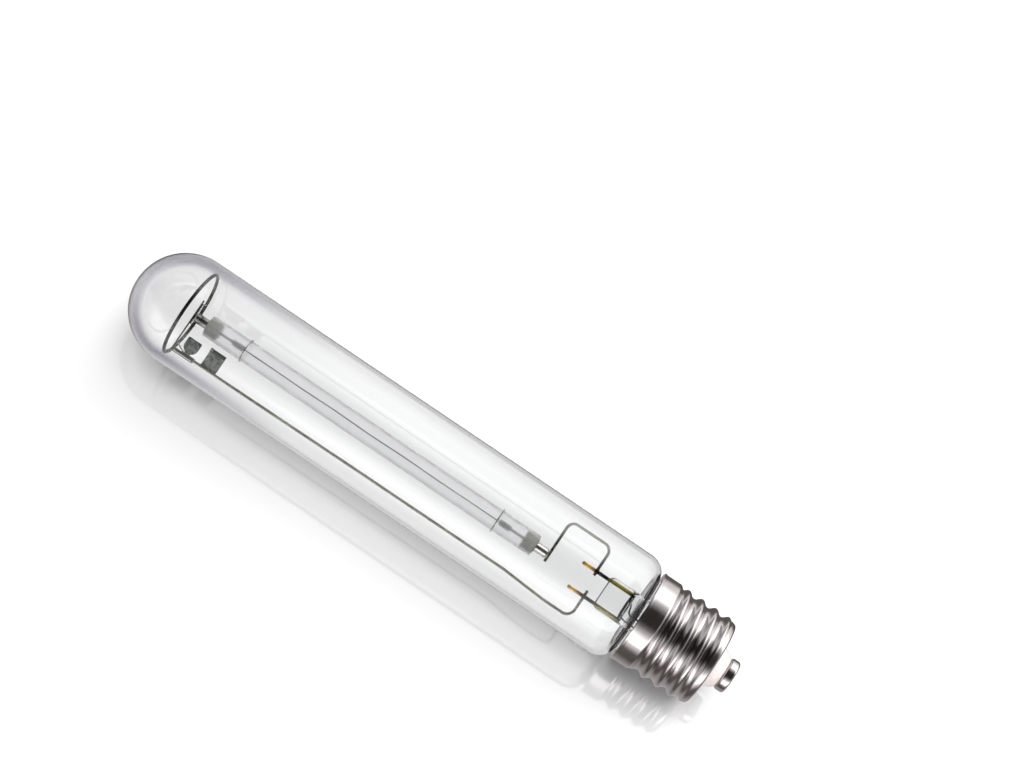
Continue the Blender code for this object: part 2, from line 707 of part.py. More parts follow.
def electrode_coil(end, edge, inwards):
    """Tungsten wire wound on the tip of the electrode rod."""
    radius = ELECTRODE_RADIUS + COIL_WIRE_RADIUS + TOUCH
    count = COIL_TURNS * COIL_POINTS_PER_TURN
    length = COIL_END - COIL_START - 2 * COIL_WIRE_RADIUS
    route = []
    for i in range(count + 1):
        turn = 2 * math.pi * i / COIL_POINTS_PER_TURN
        station = edge + inwards * (COIL_START + COIL_WIRE_RADIUS + length * i / count)
        route.append((station, radius * math.cos(turn), radius * math.sin(turn)))
    wire(f"electrode_coil_{end}", route, COIL_WIRE_RADIUS, "tungsten")


def amalgam_bead():
    """Bead of sodium amalgam in the cooler niobium tube."""
    bead = arc((AMALGAM_STATION, 0.0), (AMALGAM_RADIUS, AMALGAM_RADIUS), 0, 180, 6)
    turned("amalgam_bead", bead, "amalgam", 12)


def ignition_aid():
    """Two wire loops round the arc tube and the thin wire that joins them along it."""
    loop_radius = ARC_RADIUS + LOOP_WIRE_RADIUS + TOUCH
    stations = {}
    for end in ("dome", "base"):
        edge, inwards, _ = along_arc(end)
        stations[end] = edge + inwards * LOOP_FROM_END
        route = circle(stations[end], loop_radius, 24)
        wire(f"ignition_loop_{end}", route, LOOP_WIRE_RADIUS, "nickel_wire", cyclic=True)
    out = ARC_RADIUS + IGNITION_WIRE_RADIUS + TOUCH
    inset = LOOP_WIRE_RADIUS + TOUCH
    route = [(stations["dome"] + inset, 0.0, out), (stations["base"] - inset, 0.0, out)]
    wire("ignition_wire", route, IGNITION_WIRE_RADIUS, "nickel_wire")


# ---------------------------------------------------------------- dome end
def dome_ring():
    """Spring ring that steadies the frame in the dome."""
    wire("dome_ring", circle(RING_STATION, RING_RADIUS, 40), RING_WIRE_RADIUS, "nickel_wire", cyclic=True)


def ring_bracket():
    """Folded strip that grips the rod's end and reaches the ring. The rod passes its end fold."""
    below = ROD_ACROSS - ROD_RADIUS - STRIP_THICKNESS - 2 * TOUCH
    above = ROD_ACROSS + ROD_RADIUS + STRIP_THICKNESS / 2 + TOUCH
    path = [
        (RING_STATION + 0.15, -17.3, 0.0),
        (27.6, below, 0.0),
        (BRACKET_END, below, 0.0),
        (BRACKET_END, above, 0.0),
        (31.8, above, 0.0),
        (27.6, -12.4, 0.0),
    ]
    obj = strip("ring_bracket", path, (0.0, 0.0, BRACKET_WIDTH), "steel_strip")
    hole = cylinder_mesh("bracket_hole", BRACKET_HOLE, 2.0)
    along = Matrix.Rotation(math.pi / 2, 4, "Y")
    cut(obj, add_cutter("bracket_hole", hole, in_mount(BRACKET_END, ROD_ACROSS) @ along))


def niobium_strap():
    """Strip welded to the end of the dome-side niobium tube."""
    path = [
        (STRAP_STATION + 1.1, 6.3, 0.0),
        (STRAP_STATION, 5.7, 0.0),
        (STRAP_STATION, -3.3, 0.0),
        (STRAP_STATION + 2.2, -3.3, 0.0),
    ]
    strip("niobium_strap", path, (0.0, 0.0, STRAP_WIDTH), "steel_strip")


def dome_support_wire():
    """Wire that stands behind the strap and runs down to the frame rod's end."""
    corners = [
        (SUPPORT_WIRE_STATION, 7.2, 0.0),
        (SUPPORT_WIRE_STATION, ROD_ACROSS, 0.0),
        (ROD_START - TOUCH, ROD_ACROSS, 0.0),
    ]
    wire("dome_support_wire", rounded(corners, 0.5, 3), SUPPORT_WIRE_RADIUS, "nickel_wire")


def getter_ring():
    """Round getter: a shallow channel with its powder pressed in, facing out of the mount."""
    outline = [
        (GETTER_FRONT - 0.15, 0.0),
        (GETTER_FRONT - 0.15, 1.3),
        (GETTER_FRONT - 0.35, 1.5),
        (GETTER_FRONT - 0.35, GETTER_RADIUS - 0.35),
        (GETTER_FRONT, GETTER_RADIUS - 0.25),
        (GETTER_FRONT, GETTER_RADIUS - 0.05),
        (GETTER_FRONT - 0.1, GETTER_RADIUS),
        (GETTER_BACK, GETTER_RADIUS - 0.2),
        (GETTER_BACK, 0.0),
    ]
    turned("getter_ring", outline, "getter", 28, in_mount(GETTER_STATION, GETTER_ACROSS))


def getter_ring_holder():
    """Plate behind the round getter, square above and round below, standing on the bracket."""
    radius = GETTER_RADIUS + 0.1
    foot = ROD_ACROSS + ROD_RADIUS + STRIP_THICKNESS + 2 * TOUCH - GETTER_ACROSS
    outline = [(-radius, radius - 0.5), (-radius + 0.5, radius), (radius - 0.5, radius), (radius, radius - 0.5)]
    outline += arc((0.0, 0.0), (radius, radius), 0, -65, 5)
    outline += [(1.2, foot), (-1.2, foot)]
    outline += arc((0.0, 0.0), (radius, radius), -115, -180, 5)
    placement = in_mount(GETTER_STATION, GETTER_ACROSS, GETTER_PLATE_OUT)
    flat_plate("getter_ring_holder", list(reversed(outline)), "steel_strip", placement)


def getter_flag():
    """Square getter: a folded sheet on the rod with a block of powder in it and a wire stub."""
    middle = (FLAG_START + FLAG_END) / 2
    path = [
        (middle, FLAG_FOOT, 1.2),
        (middle, FLAG_FOOT, FLAG_BACK),
        (middle, FLAG_TOP, FLAG_BACK),
        (middle, FLAG_TOP, FLAG_FRONT),
        (middle, FLAG_TOP - 1.35, FLAG_FRONT),
    ]
    holder = strip("getter_flag_holder", path, (FLAG_END - FLAG_START, 0.0, 0.0), "steel_strip")
    pellet = getter_flag_pellet(middle)
    notch = cylinder_mesh("stub_notch", STUB_RADIUS + 0.15, 4.0)
    cutter = add_cutter("stub_notch", notch, in_mount(STUB_STATION, STUB_ACROSS))
    cut(holder, cutter)
    cut(pellet, cutter)
    ends = [(STUB_STATION, STUB_ACROSS, -STUB_HALF_LENGTH), (STUB_STATION, STUB_ACROSS, STUB_HALF_LENGTH)]
    wire("getter_flag_stub", ends, STUB_RADIUS, "nickel_wire")


def getter_flag_pellet(middle):
    """Block of pressed getter powder, clear of the folded sheet round it."""
    gap = STRIP_THICKNESS / 2 + TOUCH
    length = FLAG_END - FLAG_START - 0.5
    height = FLAG_TOP - FLAG_FOOT - 2 * gap
    depth = FLAG_FRONT - FLAG_BACK - 2 * gap
    mesh = bpy.data.meshes.new("getter_flag_pellet")
    bm = bmesh.new()
    bmesh.ops.create_cube(bm, size=1.0)
    bmesh.ops.scale(bm, verts=bm.verts, vec=Vector((length, height, depth)) * MM)
    bm.to_mesh(mesh)
    bm.free()
    placement = in_mount(middle, (FLAG_TOP + FLAG_FOOT) / 2, (FLAG_FRONT + FLAG_BACK) / 2)
    return add_object("getter_flag_pellet", mesh, placement, "getter")


# ---------------------------------------------------------------- build
clear_scene()
parts = new_collection(OBJECT_NAME)
cutters = new_collection(f"{OBJECT_NAME}_cutters")

outer_bulb()
cap_shell()
cap_insulator()
centre_contact()
contact_solder()
basing_cement()
stem()
exhaust_tube()
lead_rods()
centre_contact_wire()
shell_wire()
frame_rod()
bridge_wire()
arc_tube()
for tube_end in ("dome", "base"):
    arc_tube_end(tube_end)
amalgam_bead()
ignition_aid()
dome_ring()
ring_bracket()
niobium_strap()
dome_support_wire()
getter_ring()
getter_ring_holder()
getter_flag()
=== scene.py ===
"""Looks of the high-pressure sodium grow lamp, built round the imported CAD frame.

Lengths are in millimetres unless a comment says otherwise. A station is a distance along the lamp from
the tip of the dome. The wires and the stem lie in a mount that is rolled about the lamp's axis, with
"across" in its plane and "out" square to it.
"""

import math

import bmesh
import bpy
from mathutils import Matrix, Vector, noise

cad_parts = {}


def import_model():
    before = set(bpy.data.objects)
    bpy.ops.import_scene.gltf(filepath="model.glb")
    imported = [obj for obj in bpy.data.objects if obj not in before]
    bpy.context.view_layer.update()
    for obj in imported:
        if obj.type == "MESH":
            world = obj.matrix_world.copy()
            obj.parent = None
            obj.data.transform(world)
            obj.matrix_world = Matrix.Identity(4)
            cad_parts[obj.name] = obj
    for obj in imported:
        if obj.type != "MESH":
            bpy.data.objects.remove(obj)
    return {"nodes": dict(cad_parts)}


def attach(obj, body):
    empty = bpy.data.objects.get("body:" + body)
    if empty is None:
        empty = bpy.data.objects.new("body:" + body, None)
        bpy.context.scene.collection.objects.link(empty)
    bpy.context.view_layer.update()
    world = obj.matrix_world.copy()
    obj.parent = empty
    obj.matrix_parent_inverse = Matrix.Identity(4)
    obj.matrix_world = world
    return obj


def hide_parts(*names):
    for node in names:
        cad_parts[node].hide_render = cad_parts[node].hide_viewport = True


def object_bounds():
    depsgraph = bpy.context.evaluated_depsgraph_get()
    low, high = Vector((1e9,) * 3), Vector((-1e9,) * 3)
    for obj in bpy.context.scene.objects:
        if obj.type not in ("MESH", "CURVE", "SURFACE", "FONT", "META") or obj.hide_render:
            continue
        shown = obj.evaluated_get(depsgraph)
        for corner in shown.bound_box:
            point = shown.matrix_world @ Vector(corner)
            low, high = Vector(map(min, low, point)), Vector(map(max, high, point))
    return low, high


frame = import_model()

MM = 0.001
NO_RADIUS = 1e-6
BODY = "root"
MOUNT_ROLL = math.radians(24.7)
cad_low, cad_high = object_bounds()
LAMP_LENGTH = (cad_high.x - cad_low.x) / MM

# Camera. Its distance and the side it aims at are in metres, the stations and the lens in millimetres.
CAMERA_STATION = 183.8
CAMERA_DISTANCE = 0.8696
CAMERA_ELEVATION = 65.33
CAMERA_AIM_STATION = 146.8
CAMERA_AIM_SIDE = 0.0546
CAMERA_ROLL = 29.4
CAMERA_LENS = 76.76

# Studio, in metres. TENT is its brightness at degrees from the horizon in front, over the top, to the back.
TENT = [
    (0, 2.4), (22, 2.4), (36, 0.9), (50, 0.2), (60, 0.04), (96, 0.04), (106, 0.32), (117, 0.85),
    (128, 2.4), (152, 2.4), (172, 1.2), (180, 0.9),
]
TENT_START = (-0.22, -0.06)
TENT_PAST_START = 0.3
TENT_END = 0.35
TENT_END_FROM = (0.80, 0.98)
BACKDROP = (0.93, 0.93, 0.935)
BACKDROP_TOP = (0.45, 0.45, 0.46)
BACKDROP_DARKENS = (0.06, 0.5)
SUN_STRENGTH = 2.9
SUN_FROM = 95.0
SUN_SPREAD = 52.0
FLOOR_SIZE = 8.0
FLOOR_GLOSS = 0.22
# reach of the floor's painted shade in shiny things, and strengths of its painted glow seen through glass and
# in glass edges
FLOOR_SHADE_REACH = 0.25
FLOOR_SEEN_THROUGH = 0.87
FLOOR_SEEN_IN_EDGES = 0.78

# Shared sizes of the real pieces, which the frame's boxes don't give
# (the bulb's walls are a little thinner than the CAD's, so that its dark edge, from refraction and from
# painted shade, is one band)
BULB_WALL = 1.1
DOME_WALL = 1.4
DOME_TIP_WALL = 1.8
TAPER_LENGTH = 62.0
NECK_RADIUS = 16.2
NECK_WALL = 1.3
SHOULDER_LENGTH = 8.0
SHOULDER_BACK = 24.5
THREAD_PITCH = 6.35
THREAD_MAJOR = 19.65
THREAD_MINOR = 17.9
SHELL_WALL = 0.4
STEM_WALL = 1.3
STEM_SIDES = 64
CONTACT_EDGE = 1.2
SKIRT_RADIUS = 19.75
INSULATOR_BOSS = 10.1
TUBE_WALL = 0.92
PLUG_BORE = 2.18
FRIT_BORE = 2.15
NIOBIUM_WALL = 0.3
SHANK_RADIUS = 0.5
CONTACT_BORE = 1.62
ROD_RADIUS = 0.6
ROD_BEND = 3.7
BRIDGE_RADIUS = 0.625
BRIDGE_BEND = 3.2
SUPPORT_RADIUS = 0.35
SUPPORT_BEND = 0.5
CENTRE_LEAD_RADIUS = 0.4
SHELL_LEAD_RADIUS = 0.35
LOOP_WIRE_RADIUS = 0.24
IGNITION_WIRE_RADIUS = 0.25
COIL_WIRE_RADIUS = 0.3
COIL_TURNS = 8
STRIP_THICKNESS = 0.28

# Distances along the shell, from its edge, over which its form changes
SKIRT_NARROWS = (7.55, 9.55)
THREAD_RISES = (8.45, 10.65)
THREAD_FADES = (30.45, 32.95)
FIRST_CREST = 11.7

ALUMINA_GLOW = 0.05


# ---- reading the frame
def flat(point):
    """A point of the row frame as (station, across, out)."""
    turned = Matrix.Rotation(-MOUNT_ROLL, 3, "X") @ point
    return Vector((turned.x / MM + LAMP_LENGTH, turned.y / MM, turned.z / MM))


def span(node):
    """Lowest and highest (station, across, out) of a CAD node."""
    points = [flat(v.co) for v in frame["nodes"][node].data.vertices]
    low = Vector([min(p[i] for p in points) for i in range(3)])
    high = Vector([max(p[i] for p in points) for i in range(3)])
    return low, high


def reach(node):
    """Largest radius of a CAD node about the lamp's axis."""
    return max(math.hypot(v.co.y, v.co.z) for v in frame["nodes"][node].data.vertices) / MM


def real(point):
    """A (station, across, out) point in the row frame, in metres."""
    station, across, out = point
    return Matrix.Rotation(MOUNT_ROLL, 3, "X") @ Vector((station - LAMP_LENGTH, across, out)) * MM


# ---- materials
class Paint:
    """A Principled material with a few helpers for procedural detail."""

    def __init__(self, name, colour, metallic=0.0, roughness=0.4):
        self.mat = bpy.data.materials.new(name)
        self.mat.use_nodes = True
        self.nodes = self.mat.node_tree.nodes
        self.links = self.mat.node_tree.links
        self.shader = self.nodes["Principled BSDF"]
        self.output = self.nodes["Material Output"]
        self.set("Base Color", (*colour, 1.0))
        self.set("Metallic", metallic)
        self.set("Roughness", roughness)

    def set(self, socket, value):
        self.shader.inputs[socket].default_value = value

    def node(self, kind, **values):
        made = self.nodes.new(kind)
        for key, value in values.items():
            if key in made.inputs:
                made.inputs[key].default_value = value
            else:
                setattr(made, key, value)
        return made

    def coords(self, stretch=(1.0, 1.0, 1.0)):
        place = self.node("ShaderNodeTexCoord")
        mapping = self.node("ShaderNodeMapping", Scale=stretch)
        self.links.new(place.outputs["Object"], mapping.inputs["Vector"])
        return mapping.outputs["Vector"]

    def noise(self, scale, stretch=(1.0, 1.0, 1.0), detail=3.0):
        made = self.node("ShaderNodeTexNoise", Scale=scale, Detail=detail)
        self.links.new(self.coords(stretch), made.inputs["Vector"])
        return made.outputs["Fac"]

    def ramp(self, source, stops):
        made = self.node("ShaderNodeValToRGB")
        elements = made.color_ramp.elements
        while len(elements) < len(stops):
            elements.new(0.5)
        for element, (place, colour) in zip(elements, stops):
            element.position = place
            element.color = (*colour, 1.0) if len(colour) == 3 else colour
        self.links.new(source, made.inputs["Fac"])
        return made.outputs["Color"]

    def range(self, source, low, high, to_low, to_high):
        made = self.node("ShaderNodeMapRange")
        for key, value in zip((1, 2, 3, 4), (low, high, to_low, to_high)):
            made.inputs[key].default_value = value
        self.links.new(source, made.inputs[0])
        return made.outputs[0]

    def blend(self, factor, first, second):
        """Colour that runs from the first to the second as the factor goes from 0 to 1."""
        made = self.node("ShaderNodeMix", data_type="RGBA")
        self.links.new(factor, made.inputs[0])
        self.links.new(first, made.inputs[6])
        self.links.new(second, made.inputs[7])
        return made.outputs[2]

    def along(self, axis):
        """One coordinate of the shaded point, in metres."""
        place = self.node("ShaderNodeTexCoord")
        split = self.node("ShaderNodeSeparateXYZ")
        self.links.new(place.outputs["Object"], split.inputs[0])
        return split.outputs[axis]

    def station(self):
        """Station along the lamp, in metres, as a socket."""
        shift = self.node("ShaderNodeMath", operation="ADD")
        shift.inputs[1].default_value = LAMP_LENGTH * MM
        self.links.new(self.along("X"), shift.inputs[0])
        return shift.outputs[0]

    def mix_shader(self, factor, first, second):
        """Shader that runs from the first to the second by a factor, which is a number or a socket."""
        made = self.node("ShaderNodeMixShader")
        if isinstance(factor, float):
            made.inputs[0].default_value = factor
        else:
            self.links.new(factor, made.inputs[0])
        self.links.new(first, made.inputs[1])
        self.links.new(second, made.inputs[2])
        return made.outputs[0]

    def colour_from(self, source):
        self.links.new(source, self.shader.inputs["Base Color"])

    def rough_from(self, source, low, high):
        self.links.new(self.range(source, 0.3, 0.7, low, high), self.shader.inputs["Roughness"])

    def bump(self, source, height, strength=1.0):
        made = self.node("ShaderNodeBump", Strength=strength, Distance=height * MM)
        self.links.new(source, made.inputs["Height"])
        self.links.new(made.outputs[0], self.shader.inputs["Normal"])

    def light_passes(self, tint):
        """Rays from the lights go straight through, as they do through clear glass."""
        path = self.node("ShaderNodeLightPath")
        clear = self.node("ShaderNodeBsdfTransparent", Color=(*tint, 1.0))
        mixed = self.mix_shader(path.outputs["Is Shadow Ray"], self.shader.outputs[0], clear.outputs[0])
        self.links.new(mixed, self.output.inputs["Surface"])


def glass_paint(name, waviness, passing):
    """Clear hard glass with faint draw lines. Its edges carry painted shade, darker the more they turn away.
    """
    paint = Paint(name, (0.98, 0.985, 0.985), 0.0, 0.0)
    paint.set("Transmission Weight", 1.0)
    paint.set("IOR", 1.48)
    paint.bump(paint.noise(110.0, (0.1, 1.0, 1.0), 1.0), waviness)
    facing = paint.node("ShaderNodeLayerWeight", Blend=0.5).outputs["Facing"]
    # painted shade: the base colour darkens towards the edges that turn away
    thin_edge_shade = [
        (0.0, (0.985, 0.988, 0.988)), (0.62, (0.975, 0.975, 0.976)), (0.73, (0.92, 0.92, 0.925)),
        (0.81, (0.60, 0.595, 0.61)), (0.91, (0.33, 0.325, 0.34)), (1.0, (0.42, 0.415, 0.43)),
    ]
    paint.colour_from(paint.ramp(facing, thin_edge_shade))
    paint.light_passes((passing, passing, passing))
    return paint, facing


def bulb_paint():
    """The bulb's glass. Its painted dark edge is broad and soft in the dome, where the wall is thick, lighter
    at the dome's tip and faint in the neck.
    """
    paint, facing = glass_paint("clear_glass", 0.0012, 0.82)
    thin = paint.shader.inputs["Base Color"].links[0].from_socket
    # painted shade: broad soft edge band where the dome's wall is thick
    thick_edge_shade = [
        (0.0, (0.985, 0.985, 0.987)), (0.36, (0.95, 0.95, 0.955)), (0.44, (0.82, 0.815, 0.84)),
        (0.52, (0.47, 0.46, 0.51)), (0.60, (0.29, 0.28, 0.33)), (0.70, (0.38, 0.37, 0.42)),
        (0.84, (0.76, 0.755, 0.78)), (1.0, (0.94, 0.94, 0.945)),
    ]
    thick = paint.ramp(facing, thick_edge_shade)
    start = reach("outer_bulb") * MM
    taper = paint.range(paint.station(), start, start + TAPER_LENGTH * MM, 1.0, 0.0)
    body = paint.blend(taper, thin, thick)
    shoulder = (span("outer_bulb")[1].x - SHOULDER_BACK) * MM
    neck = paint.range(paint.station(), shoulder, shoulder + 0.8 * SHOULDER_LENGTH * MM, 0.0, 1.0)
    # painted shade: faint edge band in the neck
    pale = paint.ramp(facing, [(0.0, (0.985, 0.988, 0.988)), (1.0, (0.88, 0.88, 0.885))])
    tip = paint.range(paint.station(), 1.0 * MM, 9.0 * MM, 1.0, 0.0)
    # painted shade: lighter edge band at the dome's tip
    tip_edge_shade = [
        (0.0, (0.985, 0.985, 0.987)), (0.44, (0.93, 0.93, 0.94)), (0.60, (0.66, 0.65, 0.69)),
        (0.72, (0.72, 0.715, 0.75)), (1.0, (0.94, 0.94, 0.945)),
    ]
    with_tip = paint.blend(tip, body, paint.ramp(facing, tip_edge_shade))
    paint.colour_from(paint.blend(neck, with_tip, pale))
    return paint.mat


def plated_paint():
    """Nickel plate on pressed brass, with fine turning marks and a little dulling."""
    paint = Paint("nickel_plate", (0.62, 0.585, 0.57), 1.0, 0.14)
    blotch = paint.noise(90.0, detail=5.0)
    paint.colour_from(paint.ramp(blotch, [(0.25, (0.52, 0.485, 0.48)), (0.75, (0.66, 0.625, 0.62))]))
    marks = paint.noise(2400.0, (1.0, 0.12, 0.12), 2.0)
    paint.rough_from(paint.noise(420.0, (1.0, 0.3, 0.3), 4.0), 0.10, 0.20)
    paint.bump(marks, 0.004, 0.6)
    return paint.mat


def alumina_paint():
    """Sintered alumina. It blurs what is behind it, and a faint glow stands for light scattered inside it."""
    paint = Paint("translucent_alumina", (0.94, 0.94, 0.945), 0.0, 0.2)
    paint.set("Transmission Weight", 0.88)
    paint.set("IOR", 1.3)
    paint.set("Emission Color", (1.0, 1.0, 1.0, 1.0))
    paint.set("Emission Strength", ALUMINA_GLOW)
    cloud = paint.noise(300.0, (0.2, 1.0, 1.0), 4.0)
    clear = paint.ramp(cloud, [(0.3, (0.95, 0.95, 0.957)), (0.7, (0.98, 0.98, 0.985))])
    grain = paint.noise(900.0, detail=5.0)
    dark = paint.ramp(grain, [(0.35, (0.74, 0.74, 0.70)), (0.65, (0.92, 0.92, 0.90))])
    low, high = span("arc_tube")
    plug = span("arc_tube_plug_dome")[1].x - low.x
    station = paint.station()
    ends = []
    for end, inwards in ((low.x, 1), (high.x, -1)):
        edge = (end + inwards * plug) * MM
        soft = inwards * 0.5 * MM
        ends.append(paint.range(station, edge - soft, edge + soft, 1.0, 0.0))
    both = paint.node("ShaderNodeMath", operation="MAXIMUM")
    paint.links.new(ends[0], both.inputs[0])
    paint.links.new(ends[1], both.inputs[1])
    paint.colour_from(paint.blend(both.outputs[0], clear, dark))
    paint.rough_from(cloud, 0.30, 0.36)
    paint.light_passes((0.8, 0.8, 0.81))
    return paint.mat


def grainy_paint(name, middle, dark, light, scale, detail, spread, height, strength, rough, metallic=0.0):
    """Fired, sealed or pressed material whose grain runs from a dark to a light tone.

    rough is one roughness, or a pair that it runs between with the grain.
    """
    even = isinstance(rough, float)
    paint = Paint(name, middle, metallic, rough if even else rough[0])
    grain = paint.noise(scale, detail=detail)
    paint.colour_from(paint.ramp(grain, [(0.5 - spread, dark), (0.5 + spread, light)]))
    if not even:
        paint.rough_from(grain, *rough)
    paint.bump(grain, height, strength)
    return paint.mat


def metal_paint(name, dark, light, roughness, marks=1500.0, depth=0.006):
    """Drawn or rolled bare metal that runs from a dark to a light tone in soft blotches."""
    middle = tuple((a + b) / 2 for a, b in zip(dark, light))
    paint = Paint(name, middle, 1.0, roughness)
    blotch = paint.noise(320.0, (0.4, 1.0, 1.0), 4.0)
    paint.colour_from(paint.ramp(blotch, [(0.3, dark), (0.7, light)]))
    paint.rough_from(paint.noise(900.0, (0.3, 1.0, 1.0), 3.0), roughness * 0.75, roughness * 1.3)
    paint.bump(paint.noise(marks, (0.08, 1.0, 1.0), 2.0), depth, 0.7)
    return paint.mat


def lead_paint():
    """Rod that is heat-tinted straw and brown near its free end and blue-black towards the press."""
    paint = Paint("heat_tinted_rod", (0.35, 0.24, 0.10), 1.0, 0.3)
    start = span("upper_lead_rod")[0].x
    press = span("stem")[0].x
    along = paint.range(paint.station(), start * MM, (press + 12.0) * MM, 0.0, 1.0)
    stops = [
        (0.0, (0.24, 0.15, 0.06)),
        (0.10, (0.85, 0.50, 0.09)),
        (0.18, (0.50, 0.27, 0.10)),
        (0.27, (0.04, 0.034, 0.04)),
        (0.46, (0.02, 0.028, 0.035)),
        (0.56, (0.24, 0.21, 0.05)),
        (0.85, (0.30, 0.26, 0.06)),
        (1.0, (0.012, 0.018, 0.02)),
    ]
    paint.colour_from(paint.ramp(along, stops))
    paint.rough_from(paint.noise(1200.0), 0.22, 0.42)
    paint.bump(paint.noise(1800.0, (0.1, 1.0, 1.0)), 0.008, 0.7)
    return paint.mat


def floor_paint():
    """Glossy white board. In shiny things it shows a painted shade, darker near the lamp, and through glass a
    painted glow keeps it light.
    """
    paint = Paint("white_board", (0.93, 0.93, 0.935), 0.0, 0.5)
    tones = [(0.3, (0.925, 0.925, 0.93)), (0.7, (0.935, 0.935, 0.94))]
    paint.colour_from(paint.ramp(paint.noise(3.0), tones))
    paint.set("Specular IOR Level", 0.0)
    gloss = paint.node("ShaderNodeBsdfGlossy", Color=(0.97, 0.97, 0.975, 1.0), Roughness=0.05)
    board = paint.mix_shader(FLOOR_GLOSS, paint.shader.outputs[0], gloss.outputs[0])
    side = paint.node("ShaderNodeMath", operation="ABSOLUTE")
    paint.links.new(paint.along("Y"), side.inputs[0])
    far = paint.range(side.outputs[0], 0.0, FLOOR_SHADE_REACH, 0.0, 1.0)
    # painted shade: in reflections the board glows dimly, darkest some 40 to 90 mm to the side of the lamp
    stops = [
        (0.0, (0.50, 0.48, 0.48)), (0.09, (0.45, 0.43, 0.43)), (0.17, (0.13, 0.115, 0.11)),
        (0.36, (0.15, 0.135, 0.13)), (0.55, (0.42, 0.40, 0.395)), (1.0, (0.95, 0.93, 0.93)),
    ]
    painted_reflection_shade = paint.node("ShaderNodeEmission")
    paint.links.new(paint.ramp(far, stops), painted_reflection_shade.inputs["Color"])
    path = paint.node("ShaderNodeLightPath")
    # painted light: seen through glass the board glows evenly, with no shadow on it
    light = paint.node("ShaderNodeEmission", Color=(1.0, 1.0, 1.005, 1.0))
    edges = paint.range(path.outputs["Glossy Depth"], 0.0, 1.0, FLOOR_SEEN_THROUGH, FLOOR_SEEN_IN_EDGES)
    paint.links.new(edges, light.inputs["Strength"])
    shiny = paint.mix_shader(path.outputs["Glossy Depth"], board, painted_reflection_shade.outputs[0])
    seen = paint.mix_shader(path.outputs["Is Transmission Ray"], shiny, light.outputs[0])
    paint.links.new(seen, paint.output.inputs["Surface"])
    return paint.mat


# ---- shapes
def linked(name, data):
    """A new object in the scene."""
    obj = bpy.data.objects.new(name, data)
    bpy.context.scene.collection.objects.link(obj)
    return obj


def add_piece(name, data, paint, slot, *nodes):
    """Link a piece, let it ride on the lamp, and hide the CAD nodes it stands for."""
    obj = linked(name, data)
    data.materials.append(paints[paint])
    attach(obj, BODY)
    if nodes:
        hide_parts(*nodes)
    return obj


def shaded(mesh, bm, crease=math.radians(40)):
    """Finish a mesh: faces out, smooth, with creases kept."""
    bmesh.ops.recalc_face_normals(bm, faces=bm.faces)
    bm.to_mesh(mesh)
    bm.free()
    mesh.shade_smooth()
    mesh.set_sharp_from_angle(angle=crease)
    return mesh


def arc(centre, reach_by, start, end, count):
    """Points (station, radius) on an ellipse, at angles in degrees from +station."""
    angles = [math.radians(start + (end - start) * i / count) for i in range(count + 1)]
    return [(centre[0] + reach_by[0] * math.cos(a), centre[1] + reach_by[1] * math.sin(a)) for a in angles]


def full_turn(count):
    """Evenly spaced angles of one turn."""
    return [2 * math.pi * i / count for i in range(count)]


def circle(station, radius, count, centre=(0.0, 0.0)):
    """Points of a circle square to the lamp's axis."""
    across, out = centre
    return [(station, across + radius * math.cos(t), out + radius * math.sin(t)) for t in full_turn(count)]


def skin(bm, rows, closed=False):
    """Faces between neighbouring rows of vertices, with triangles where a row is a single point."""
    pairs = list(zip(rows, rows[1:]))
    if closed:
        pairs.append((rows[-1], rows[0]))
    for near, far in pairs:
        for i in range(len(near)):
            j = (i + 1) % len(near)
            bm.faces.new(list(dict.fromkeys((near[i], near[j], far[j], far[i]))))


def lathe(name, outline, count, paint, slot, node, ring=False, centre=(0.0, 0.0), crease=40.0):
    """A piece turned from an outline of (station, radius) points about a line along the lamp."""
    mesh = bpy.data.meshes.new(name)
    bm = bmesh.new()
    rows = []
    for station, radius in outline:
        if radius < NO_RADIUS:
            rows.append([bm.verts.new(real((station, *centre)))] * count)
        else:
            rows.append([bm.verts.new(real(p)) for p in circle(station, radius, count, centre)])
    skin(bm, rows, ring)
    add_piece(name, shaded(mesh, bm, math.radians(crease)), paint, slot, node)


def wire(name, route, radius, paint, node, slot="nickel_wire", cyclic=False, sides=5):
    """A round wire along (station, across, out) points."""
    curve = bpy.data.curves.new(name, "CURVE")
    curve.dimensions = "3D"
    curve.bevel_depth = radius * MM
    curve.bevel_resolution = sides
    curve.use_fill_caps = not cyclic
    spline = curve.splines.new("POLY")
    spline.points.add(len(route) - 1)
    for point, place in zip(spline.points, route):
        point.co = (*real(place), 1.0)
    spline.use_cyclic_u = cyclic
    spline.use_smooth = True
    add_piece(name, curve, paint, slot, node)


def rounded(points, bend, steps=12):
    """A route whose corners are arcs of the bend radius, or of what the runs leave room for."""
    points = [Vector(p) for p in points]
    route = points[:1]
    for before, corner, after in zip(points, points[1:], points[2:]):
        back = (before - corner).normalized()
        ahead = (after - corner).normalized()
        half = back.angle(ahead) / 2
        room = 0.45 * min((before - corner).length, (after - corner).length)
        cut_back = min(bend / math.tan(half), room)
        radius = cut_back * math.tan(half)
        centre = corner + (back + ahead).normalized() * (radius / math.sin(half))
        first = corner + back * cut_back - centre
        last = corner + ahead * cut_back - centre
        for i in range(steps + 1):
            route.append(centre + first.slerp(last, i / steps) * radius)
    return route + [points[-1]]


def smooth_step(value, low, high):
    """0 below low, 1 above high, and an S-curve between."""
    t = min(max((value - low) / (high - low), 0.0), 1.0)
    return t * t * (3 - 2 * t)


def flowing(points, steps=8):
    """A smooth route through all the points."""
    points = [Vector(p) for p in points]
    padded = [2 * points[0] - points[1], *points, 2 * points[-1] - points[-2]]
    route = []
    for a, b, c, d in zip(padded, padded[1:], padded[2:], padded[3:]):
        for i in range(steps):
            t = i / steps
            bow = (2 * a - 5 * b + 4 * c - d) * t * t + (3 * b - a - 3 * c + d) * t ** 3
            route.append(b + ((c - a) * t + bow) / 2)
    return route + [points[-1]]


